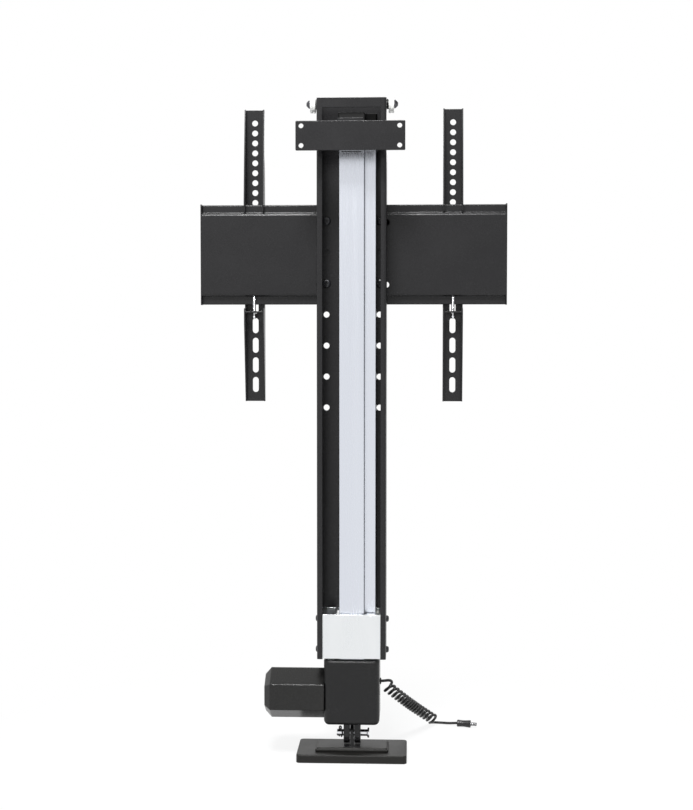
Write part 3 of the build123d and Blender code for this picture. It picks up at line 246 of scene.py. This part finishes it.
def joined(*parts):
    choose(*parts)
    if len(parts) > 1:
        bpy.ops.object.join()
    return bpy.context.object


def scaled(outline, height, radius):
    # An outline that is given in shares of a height and a radius
    return [(rise * height, reach * radius) for rise, reach in outline]


def turned(profile, facets=32):
    # A turned solid along +Z: a disc is extruded from height to height and scaled to each radius
    height, radius = profile[0]
    bpy.ops.object.select_all(action="DESELECT")
    bpy.ops.mesh.primitive_circle_add(vertices=facets, radius=radius, fill_type="NGON",
                                      location=(0, 0, height))
    obj = bpy.context.object
    bpy.ops.object.transform_apply(location=True)
    bpy.ops.object.mode_set(mode="EDIT")
    bpy.ops.mesh.select_all(action="SELECT")
    for nextHeight, nextRadius in profile[1:]:
        bpy.ops.mesh.extrude_region_move(TRANSFORM_OT_translate={"value": (0, 0, nextHeight - height)})
        share = nextRadius / radius
        bpy.ops.transform.resize(value=(share, share, 1), center_override=(0, 0, nextHeight))
        height, radius = nextHeight, nextRadius
    bpy.ops.mesh.select_all(action="SELECT")
    bpy.ops.mesh.normals_make_consistent(inside=False)
    bpy.ops.object.mode_set(mode="OBJECT")
    return obj


def cutAway(obj, cutter, operation="DIFFERENCE"):
    choose(obj)
    cut = obj.modifiers.new("cut", "BOOLEAN")
    cut.operation = operation
    cut.solver = "EXACT"
    cut.object = cutter
    bpy.ops.object.modifier_apply(modifier=cut.name)
    bpy.data.objects.remove(cutter)


# Cross recess: the slots' width is a share of their reach, and their bottom is this much smaller
crossSlot = {"width": 0.42, "taper": 0.45}


def crossRecess(obj, top, reach, depth):
    # Two wedge-shaped slots at right angles, from the recess's bottom to half its depth above the head
    for turn in (0, 90):
        bpy.ops.object.select_all(action="DESELECT")
        bpy.ops.mesh.primitive_cube_add(size=1, location=(0, 0, top - depth / 4),
                                        rotation=(0, 0, radians(turn)))
        wedge = bpy.context.object
        wedge.scale = (2 * reach, crossSlot["width"] * reach, depth * 1.5)
        bpy.ops.object.transform_apply(location=True, rotation=True, scale=True)
        for vertex in wedge.data.vertices:
            if vertex.co.z < top:
                vertex.co.x *= crossSlot["taper"]
                vertex.co.y *= crossSlot["taper"]
        cutAway(obj, wedge)


# Domed head in shares of its height and radius, and the shank's tip in shares of the shank's radius
screwForm = {"head": [(0, 0.94), (0.12, 1), (0.38, 0.985), (0.62, 0.92), (0.80, 0.80), (0.92, 0.62),
                      (0.98, 0.38), (1, 0.12)],
             "tipLength": 0.3, "tipRadius": 0.7}


def panScrew(look):
    # Head up from the seat at zero, shank down, a cross recess in the head
    radius, length = look["radius"], look["length"]
    shank = [(-length, radius * screwForm["tipRadius"]), (-length + radius * screwForm["tipLength"], radius),
             (0, radius)]
    screw = turned(shank + scaled(screwForm["head"], look["headHeight"], look["headRadius"]))
    crossRecess(screw, look["headHeight"], look["recess"], look["recessDepth"])
    return screw


# Turned form that takes the corners off a nut, in shares of the nut's height and radius
nutCorners = {"form": [(-0.1, 0.80), (0.20, 1.01), (0.80, 1.01), (1.1, 0.80)], "facets": 48}


def hexNut(look):
    # Six sides with their corners taken off at both ends, and a bore
    radius, height = look["radius"], look["height"]
    bpy.ops.object.select_all(action="DESELECT")
    bpy.ops.mesh.primitive_cylinder_add(vertices=6, radius=radius, depth=height,
                                        location=(0, 0, height / 2))
    nut = bpy.context.object
    bpy.ops.object.transform_apply(location=True)
    cutAway(nut, turned(scaled(nutCorners["form"], height, radius), nutCorners["facets"]), "INTERSECT")
    cutAway(nut, turned([(-height, look["bore"]), (2 * height, look["bore"])]))
    return nut


def copiesAt(master, places):
    # One copy of the master at each place, its +Z along that place's direction, joined in one object
    copies = []
    for index, (place, direction) in enumerate(places):
        choose(master)
        bpy.ops.object.duplicate()
        piece = bpy.context.object
        turn = Vector((0, 0, 1)).rotation_difference(Vector(direction)).to_matrix().to_4x4()
        twist = Matrix.Rotation(radians(index * twistStep), 4, "Z")
        piece.matrix_world = Matrix.Translation(place) @ turn @ twist
        bpy.ops.object.transform_apply(location=True, rotation=True, scale=True)
        copies.append(piece)
    bpy.data.objects.remove(master)
    return joined(*copies)


def threadRidge(look, bottom, top, startTurn=0.0):
    # A diamond section wound up the shank by the Screw modifier, half of it inside the core
    bpy.ops.object.select_all(action="DESELECT")
    bpy.ops.mesh.primitive_circle_add(vertices=4, radius=look["depth"], location=(look["core"], 0, bottom),
                                      rotation=(radians(90), 0, 0))
    ridge = bpy.context.object
    ridge.scale = (1, look["flank"], 1)
    bpy.ops.object.transform_apply(location=True, rotation=True, scale=True)
    winding = ridge.modifiers.new("winding", "SCREW")
    winding.axis = "Z"
    winding.angle = 2 * pi
    winding.screw_offset = look["lead"]
    winding.iterations = int((top - bottom) / look["lead"])
    winding.steps = winding.render_steps = look["facets"]
    bpy.ops.object.modifier_apply(modifier=winding.name)
    bpy.ops.object.mode_set(mode="EDIT")
    bpy.ops.mesh.select_all(action="SELECT")
    bpy.ops.mesh.fill_holes(sides=4)
    bpy.ops.mesh.select_all(action="SELECT")
    bpy.ops.mesh.normals_make_consistent(inside=False)
    bpy.ops.object.mode_set(mode="OBJECT")
    ridge.rotation_euler = (0, 0, startTurn)
    bpy.ops.object.transform_apply(rotation=True)
    return ridge


def middleOf(node):
    low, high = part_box(node)
    return (low + high) / 2


def facePlaces(node, side, look):
    # Four screws on a face that looks along +Y or -Y, from the box of their solids
    low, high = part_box(node)
    seat = low.y + look["headHeight"] if side < 0 else high.y - look["headHeight"]
    inset = look["headRadius"]
    return [((x, seat, z), (0, side, 0)) for x in (low.x + inset, high.x - inset)
            for z in (low.z + inset, high.z - inset)]


# Curly cord: a short lead, the helix along the coil's route, and a tail along the floor to the plug
curlyCord = {
    "wire": 0.0021, "coil": 0.00754, "turns": 16, "perTurn": 16, "startAngle": 30, "endAngle": 150,
    "lean": 50, "length": 0.858,
    "lead": [(0.0434, 0.0080, 0.1115), (0.0486, 0.0086, 0.1118), (0.0540, 0.0104, 0.1121),
             (0.0582, 0.0110, 0.1113), (0.0596, 0.0093, 0.1089)],
    "route": [(0.0523, 0.0100, 0.1025), (0.0765, 0.0662, 0.0693), (0.1007, 0.1223, 0.0380),
              (0.1249, 0.1785, 0.0088)],
    "tail": [(0.1186, 0.1785, 0.0028), (0.1190, 0.1822, 0.0021), (0.1224, 0.1842, 0.0021),
             (0.1290, 0.1840, 0.0021), (0.1400, 0.1822, 0.0021), (0.1505, 0.1758, 0.0032),
             (0.1575, 0.1700, 0.0051), (0.1630, 0.1670, 0.0060)],
}


def splineCurve(name, points):
    curve = bpy.data.curves.new(name, "CURVE")
    curve.dimensions = "3D"
    spline = curve.splines.new("NURBS")
    spline.points.add(len(points) - 1)
    for target, point in zip(spline.points, points):
        target.co = (*point, 1)
    spline.order_u = 3
    spline.use_endpoint_u = True
    curve.resolution_u = 6
    obj = bpy.data.objects.new(name, curve)
    bpy.context.scene.collection.objects.link(obj)
    return obj


def roundWire(obj, radius):
    obj.data.bevel_depth = radius
    obj.data.bevel_resolution = 3
    obj.data.use_fill_caps = True


routeCurve = splineCurve("coilRoute", curlyCord["route"])
routeLine = bpy.data.meshes.new_from_object(routeCurve)
axisPoints = [vertex.co.copy() for vertex in routeLine.vertices]
bpy.data.objects.remove(routeCurve)
bpy.data.meshes.remove(routeLine)


def axisAt(share):
    # Point and heading on the coil's axis at a share of its way
    steps = share * (len(axisPoints) - 1)
    index = min(int(steps), len(axisPoints) - 2)
    ahead = axisPoints[index + 1] - axisPoints[index]
    return axisPoints[index] + ahead * (steps - index), ahead.normalized()


# The turns lean over towards the front, so they are seen from their edge
helixPoints = []
wholeAngle = 360 * curlyCord["turns"] + curlyCord["endAngle"] - curlyCord["startAngle"]
helixCount = int(wholeAngle / 360 * curlyCord["perTurn"])
lean = radians(curlyCord["lean"])
for step in range(helixCount + 1):
    share = step / helixCount
    centre, heading = axisAt(share)
    across = heading.cross(Vector((0, 1, 0))).normalized()
    nearSide = cos(lean) * heading.cross(across) - sin(lean) * heading
    angle = radians(curlyCord["startAngle"] + share * wholeAngle)
    helixPoints.append(centre + curlyCord["coil"] * (cos(angle) * across + sin(angle) * nearSide))

cord = splineCurve("curlyCord", curlyCord["lead"] + helixPoints + curlyCord["tail"])
roundWire(cord, curlyCord["wire"])
cord.data.materials.append(cordRubber)
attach(cord, "column")
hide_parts("cord_lead", "cord_coil", "cord_tail")
print("cord wound:", helixCount, "points in", curlyCord["turns"], "turns")

# Plug: a moulded grip with a slight waist, then a two-part contact, both as (height, radius) from
# the cord's end
plug = {"heading": (1.0, -0.22, 0.0),
        "grip": [(0, 0.0026), (0.0003, 0.0050), (0.0009, 0.0056), (0.0030, 0.0055), (0.0065, 0.0052),
                 (0.0100, 0.0051), (0.0140, 0.0053), (0.0180, 0.0057), (0.0214, 0.0060), (0.0220, 0.0054)],
        "contact": [(0.0210, 0.0033), (0.0228, 0.0033), (0.0230, 0.00275), (0.0260, 0.00275),
                    (0.0261, 0.00245), (0.0268, 0.00245), (0.0269, 0.00275), (0.0314, 0.00275),
                    (0.0320, 0.00215)]}
plugPlace = [(curlyCord["tail"][-1], plug["heading"])]
grip = copiesAt(turned(plug["grip"]), plugPlace)
finishPiece(grip, "plugMoulding", "column", cordRubber, "black_rubber", "plug_body")
contact = copiesAt(turned(plug["contact"]), plugPlace)
finishPiece(contact, "plugContact", "column", contactMetal, "plug_metal", "plug_tip")

print("plug made")

# Screws of the cross plate, on the channel's inner face, and their nuts behind the plate
plateScrew = {"headRadius": 0.0066, "headHeight": 0.0036, "radius": 0.0040, "length": 0.0099,
              "recess": 0.0038, "recessDepth": 0.0020}
platePlaces = facePlaces("plate_screws", -1, plateScrew)
finishPiece(copiesAt(panScrew(plateScrew), platePlaces),
            "plateScrews", "carriage", blackOxide, "black_screws", "plate_screws")

plateNut = {"radius": 0.0068, "height": 0.0050, "bore": 0.00405}
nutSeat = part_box("plate_nuts")[0].y
nutPlaces = [((place[0], nutSeat, place[2]), (0, 1, 0)) for place, direction in platePlaces]
finishPiece(copiesAt(hexNut(plateNut), nutPlaces),
            "plateNuts", "carriage", blackOxide, "black_screws", "plate_nuts")
print("plate screws and nuts made")

# Domed screws that hold the carriage in the channel's sides
sideScrew = {"headRadius": 0.0049, "headHeight": 0.0040, "radius": 0.0029, "length": 0.0088,
             "recess": 0.0026, "recessDepth": 0.0017}
sideLow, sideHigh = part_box("carriage_screws")
sideSeats = ((-1, sideLow.x + sideScrew["headHeight"]), (1, sideHigh.x - sideScrew["headHeight"]))
sidePlaces = [((x, middleOf("carriage_screws").y, z), (side, 0, 0)) for side, x in sideSeats
              for z in (sideLow.z + sideScrew["headRadius"], sideHigh.z - sideScrew["headRadius"])]
finishPiece(copiesAt(panScrew(sideScrew), sidePlaces),
            "carriageScrews", "carriage", blackOxide, "black_screws", "carriage_screws")

# Screws of the gearbox cover at the back
coverScrew = {"headRadius": 0.0036, "headHeight": 0.0022, "radius": 0.0020, "length": 0.0130,
              "recess": 0.0020, "recessDepth": 0.0013}
finishPiece(copiesAt(panScrew(coverScrew), facePlaces("cover_screws", 1, coverScrew)),
            "coverScrews", "column", brightZinc, "bright_zinc", "cover_screws")

# The two screws inside the top bracket
bracketScrew = {"headRadius": 0.0044, "headHeight": 0.0028, "radius": 0.0025, "length": 0.0040,
                "recess": 0.0024, "recessDepth": 0.0014}
bracketLow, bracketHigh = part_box("bracket_screws")
bracketSeat = bracketLow.y + bracketScrew["headHeight"]
bracketHeights = (bracketLow.z + bracketScrew["headRadius"], bracketHigh.z - bracketScrew["headRadius"])
bracketPlaces = [((middleOf("bracket_screws").x, bracketSeat, z), (0, -1, 0)) for z in bracketHeights]
finishPiece(copiesAt(panScrew(bracketScrew), bracketPlaces),
            "bracketScrews", "column", blackOxide, "black_screws", "bracket_screws")
print("side, cover and bracket screws made")

# Lid rollers: two treads with a groove between them and a dished outer face
lidRoller = {"width": 0.0080, "radius": 0.0130, "edge": 0.0008, "edgeCut": 0.00024, "groove": 0.0007,
             "grooveSide": 0.00048, "rimWall": 0.0025, "dish": 0.0008, "hub": 0.0074, "hubFace": 0.00592,
             "bore": 0.00405, "facets": 72}
width, radius, edge = lidRoller["width"], lidRoller["radius"], lidRoller["edge"]
cut, dish, middle = lidRoller["edgeCut"], lidRoller["dish"], width / 2
rim, flank = radius - lidRoller["rimWall"], radius - lidRoller["grooveSide"]
rollerProfile = [(0, radius - edge), (cut, radius - cut), (edge, radius),
                 (middle - edge, radius), (middle - cut, flank), (middle, radius - lidRoller["groove"]),
                 (middle + cut, flank), (middle + edge, radius),
                 (width - edge, radius), (width - cut, radius - cut), (width, radius - edge),
                 (width, rim), (width - dish, rim - dish), (width - dish, lidRoller["hub"] + dish),
                 (width, lidRoller["hub"]), (width, lidRoller["hubFace"])]
for side, sideName in ((-1, "left"), (1, "right")):
    rollerLow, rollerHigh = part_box("lid_roller_" + sideName)
    roller = turned(rollerProfile, lidRoller["facets"])
    cutAway(roller, turned([(-width, lidRoller["bore"]), (2 * width, lidRoller["bore"])]))
    rollerMiddle = middleOf("lid_roller_" + sideName)
    innerX = rollerLow.x if side > 0 else rollerHigh.x
    finishPiece(copiesAt(roller, [((innerX, rollerMiddle.y, rollerMiddle.z), (side, 0, 0))]),
                "lidRoller" + sideName.capitalize(), "roller_" + sideName, whiteNylon, "white_nylon",
                "lid_roller_" + sideName)

# Their axles: a domed head outside, in shares of its height and radius, a stepped shank and a nut
# inside the channel
lidAxle = {"headRadius": 0.0066, "headHeight": 0.0056, "tip": 0.0022,
           "head": [(0, 0.95), (0.08, 1), (0.24, 0.985), (0.46, 0.86), (0.70, 0.66), (0.90, 0.46)],
           "shank": 0.0040, "shankLength": 0.0109, "tail": 0.0030, "tailLength": 0.0055,
           "endCut": 0.0005, "endRadius": 0.0024, "recess": 0.0019, "recessDepth": 0.0013, "facets": 40}
axleNut = {"radius": 0.0055, "height": 0.0030, "bore": 0.0029}
axleEnd = -lidAxle["shankLength"] - lidAxle["tailLength"]
axleShank = [(axleEnd, lidAxle["endRadius"]), (axleEnd + lidAxle["endCut"], lidAxle["tail"]),
             (-lidAxle["shankLength"], lidAxle["tail"]), (-lidAxle["shankLength"], lidAxle["shank"]),
             (0, lidAxle["shank"])]
axleHead = scaled(lidAxle["head"], lidAxle["headHeight"], lidAxle["headRadius"])
axle = turned(axleShank + axleHead + [(lidAxle["headHeight"], lidAxle["tip"])], lidAxle["facets"])
crossRecess(axle, lidAxle["headHeight"], lidAxle["recess"], lidAxle["recessDepth"])
axle = joined(axle, copiesAt(hexNut(axleNut), [((0, 0, axleEnd), (0, 0, 1))]))
axleLow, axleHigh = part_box("roller_axles")
axleMiddle = middleOf("roller_axles")
axleSeats = ((-1, axleLow.x + lidAxle["headHeight"]), (1, axleHigh.x - lidAxle["headHeight"]))
axlePlaces = [((x, axleMiddle.y, axleMiddle.z), (side, 0, 0)) for side, x in axleSeats]
finishPiece(copiesAt(axle, axlePlaces), "rollerAxles", "carriage", axleSteel, "bright_zinc", "roller_axles")
print("rollers and axles made")

# Lock screws of the arms: a tapered head below, in shares of its height and radius, a thinner neck
# and a threaded upper part
lockScrew = {"headRadius": 0.00325, "headHeight": 0.0038,
             "head": [(0, 0.50), (0.12, 0.66), (0.70, 0.97), (0.86, 1), (1, 0.94)],
             "neck": 0.0015, "neckEnd": 0.0092, "neckStep": 0.0004, "core": 0.0023, "endRadius": 0.00138,
             "depth": 0.0002, "flank": 1.2, "lead": 0.0008, "runOut": 0.0008, "facets": 16}
for sideName in ("left", "right"):
    lockLow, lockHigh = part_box("lock_screw_" + sideName)
    lockMiddle = middleOf("lock_screw_" + sideName)
    top = lockHigh.z - lockLow.z
    threadTop = top - lockScrew["runOut"]
    lockHead = scaled(lockScrew["head"], lockScrew["headHeight"], lockScrew["headRadius"])
    shank = turned(lockHead + [(lockScrew["headHeight"], lockScrew["neck"]),
                               (lockScrew["neckEnd"], lockScrew["neck"]),
                               (lockScrew["neckEnd"] + lockScrew["neckStep"], lockScrew["core"]),
                               (threadTop, lockScrew["core"]), (top, lockScrew["endRadius"])])
    ridge = threadRidge(lockScrew, lockScrew["neckEnd"] + lockScrew["runOut"], threadTop)
    lock = copiesAt(joined(shank, ridge), [((lockMiddle.x, lockMiddle.y, lockLow.z), (0, 0, 1))])
    finishPiece(lock, "lockScrew" + sideName.capitalize(), "lock_" + sideName, brightZinc, "bright_zinc",
                "lock_screw_" + sideName)
print("lock screws made")

# Lead screw: journals at both ends, and a two-start thread over the column's length
leadScrew = {"journal": 0.0050, "journalLength": 0.0073, "outer": 0.0060, "core": 0.0051, "depth": 0.0009,
             "flank": 1.6, "lead": 0.0080, "facets": 20, "topJournal": 0.0040, "topLength": 0.0103,
             "starts": 2, "runOut": 0.0020, "taper": 0.0010, "endCut": 0.0005, "endRadius": 0.0034}
screwLow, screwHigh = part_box("lead_screw")
screwMiddle = middleOf("lead_screw")
screwLength = screwHigh.z - screwLow.z
topShoulder = screwLength - leadScrew["topLength"]
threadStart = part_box("gearbox_housing")[1].z - screwLow.z + leadScrew["runOut"]
threadEnd = topShoulder - leadScrew["runOut"]
core = turned([(0, leadScrew["journal"]), (leadScrew["journalLength"], leadScrew["journal"]),
               (leadScrew["journalLength"], leadScrew["outer"]),
               (threadStart - leadScrew["taper"], leadScrew["outer"]), (threadStart, leadScrew["core"]),
               (threadEnd, leadScrew["core"]), (threadEnd + leadScrew["taper"], leadScrew["outer"]),
               (topShoulder, leadScrew["outer"]), (topShoulder, leadScrew["topJournal"]),
               (screwLength - leadScrew["endCut"], leadScrew["topJournal"]),
               (screwLength, leadScrew["endRadius"])])
ridges = [threadRidge(leadScrew, threadStart, threadEnd, 2 * pi * start / leadScrew["starts"])
          for start in range(leadScrew["starts"])]
leadPiece = copiesAt(joined(core, *ridges), [((screwMiddle.x, screwMiddle.y, screwLow.z), (0, 0, 1))])
finishPiece(leadPiece, "leadScrewThreaded", "lead_screw", screwSteel, "machined_steel", "lead_screw")
print("lead screw threaded")

# Spring clip: a straight leg through the pin, an eye, and a wavy leg that grips the pin's outside.
# Its line is (distance from the pin's middle, height) in a plane turned about the upright.
springClip = {"wire": 0.0011, "turn": 35,
              "line": [(0, -0.0062), (0, -0.0010), (0, 0.0052), (0, 0.0078), (0.0016, 0.0100),
                       (0.0050, 0.0098), (0.0054, 0.0076), (0.0036, 0.0062), (0.0044, 0.0052),
                       (0.0082, 0.0030), (0.0084, -0.0012), (0.0064, -0.0036), (0.0058, -0.0056)]}
pinMiddle = middleOf("clevis_pin")
clipX = middleOf("spring_clip").x
outward = Vector((sin(radians(springClip["turn"])), -cos(radians(springClip["turn"])), 0))
clipPoints = [Vector((clipX, pinMiddle.y, pinMiddle.z + rise)) + away * outward
              for away, rise in springClip["line"]]
clip = splineCurve("springClip", clipPoints)
roundWire(clip, springClip["wire"])
choose(clip)
bpy.ops.object.convert(target="MESH")
finishPiece(bpy.context.object, "springClipWire", "column", springSteel, "spring_steel", "spring_clip")
print("spring clip bent")

# Pale floor, which a camera ray sees white, with a faint shadow that ends a short way from the object
floor = {"size": 60.0, "colour": (0.80, 0.80, 0.80), "shadowShare": 0.16, "shadowNear": 0.12,
         "shadowFar": 0.62}

bpy.ops.object.select_all(action="DESELECT")
bpy.ops.mesh.primitive_plane_add(size=floor["size"])
ground = bpy.context.object
ground.name = "paleFloor"
paleFloor = bpy.data.materials.new("paleFloor")
paleFloor.use_nodes = True
floorTree = paleFloor.node_tree
floorTree.nodes.clear()
floorOut = floorTree.nodes.new("ShaderNodeOutputMaterial")
matt = floorTree.nodes.new("ShaderNodeBsdfDiffuse")
matt.inputs["Color"].default_value = (*floor["colour"], 1)
white = floorTree.nodes.new("ShaderNodeEmission")
floorPath = floorTree.nodes.new("ShaderNodeLightPath")
floorPlace = floorTree.nodes.new("ShaderNodeTexCoord")
away = floorTree.nodes.new("ShaderNodeVectorMath")
away.operation = "LENGTH"
floorTree.links.new(floorPlace.outputs["Object"], away.inputs[0])
seen = mathNode(floorTree, "MAXIMUM", floorPath.outputs["Is Camera Ray"], floorPath.outputs["Is Glossy Ray"])
whiteShare = rangeNode(floorTree, away.outputs["Value"], (floor["shadowNear"], floor["shadowFar"]),
                       (1 - floor["shadowShare"], 1.0))
fade = mathNode(floorTree, "MULTIPLY", seen, whiteShare)
floorTree.links.new(mixNode(floorTree, fade, matt.outputs[0], white.outputs[0]), floorOut.inputs["Surface"])
ground.data.materials.append(paleFloor)

# World: plain soft light, seen as white by the camera. Reflections see a room that is white at
# brightX and darker towards darkX, on the right.
room = {"light": (0.96, 0.98, 1.0), "lightStrength": 0.55, "white": (1, 1, 1), "brightX": -0.10,
        "darkX": 0.60, "darkest": 0.35}

world = bpy.data.worlds.new("softWorld")
bpy.context.scene.world = world
world.use_nodes = True
worldTree = world.node_tree
worldTree.nodes.clear()
worldOut = worldTree.nodes.new("ShaderNodeOutputWorld")
softLight = worldTree.nodes.new("ShaderNodeBackground")
softLight.inputs["Color"].default_value = (*room["light"], 1)
softLight.inputs["Strength"].default_value = room["lightStrength"]
whiteView = worldTree.nodes.new("ShaderNodeBackground")
whiteView.inputs["Color"].default_value = (*room["white"], 1)
roomView = worldTree.nodes.new("ShaderNodeBackground")
roomView.inputs["Color"].default_value = (*room["white"], 1)
roomPlace = worldTree.nodes.new("ShaderNodeTexCoord")
roomSides = worldTree.nodes.new("ShaderNodeSeparateXYZ")
worldTree.links.new(roomPlace.outputs["Generated"], roomSides.inputs["Vector"])
roomShade = rangeNode(worldTree, roomSides.outputs["X"], (room["brightX"], room["darkX"]),
                      (1.0, room["darkest"]))
worldTree.links.new(roomShade, roomView.inputs["Strength"])
worldPath = worldTree.nodes.new("ShaderNodeLightPath")
clearView = mathNode(worldTree, "MAXIMUM", worldPath.outputs["Is Camera Ray"],
                     worldPath.outputs["Is Transmission Ray"])
glossyMix = mixNode(worldTree, worldPath.outputs["Is Glossy Ray"], softLight.outputs[0], roomView.outputs[0])
worldTree.links.new(mixNode(worldTree, clearView, glossyMix, whiteView.outputs[0]),
                    worldOut.inputs["Surface"])

lampTarget = Vector((0, 0, 0.5))
lamps = {
    "keyBox": {"place": (-1.3, -1.9, 2.1), "size": 1.4, "power": 8.0},
    "sideBox": {"place": (1.8, -1.2, 1.3), "size": 1.2, "power": 3.0},
    "rearBox": {"place": (0.4, 2.2, 1.9), "size": 1.6, "power": 16.0},
    "topBox": {"place": (-0.2, -1.6, 2.5), "size": 0.6, "power": 88.0},
}
for name, lamp in lamps.items():
    lampData = bpy.data.lights.new(name, "AREA")
    lampData.size = lamp["size"]
    lampData.energy = lamp["power"]
    lampObject = bpy.data.objects.new(name, lampData)
    bpy.context.scene.collection.objects.link(lampObject)
    lampObject.location = lamp["place"]
    aim = lampTarget - Vector(lamp["place"])
    lampObject.rotation_euler = aim.to_track_quat("-Z", "Y").to_euler()
bpy.context.scene.view_settings.view_transform = "Standard"
print("floor, world and lamps set")
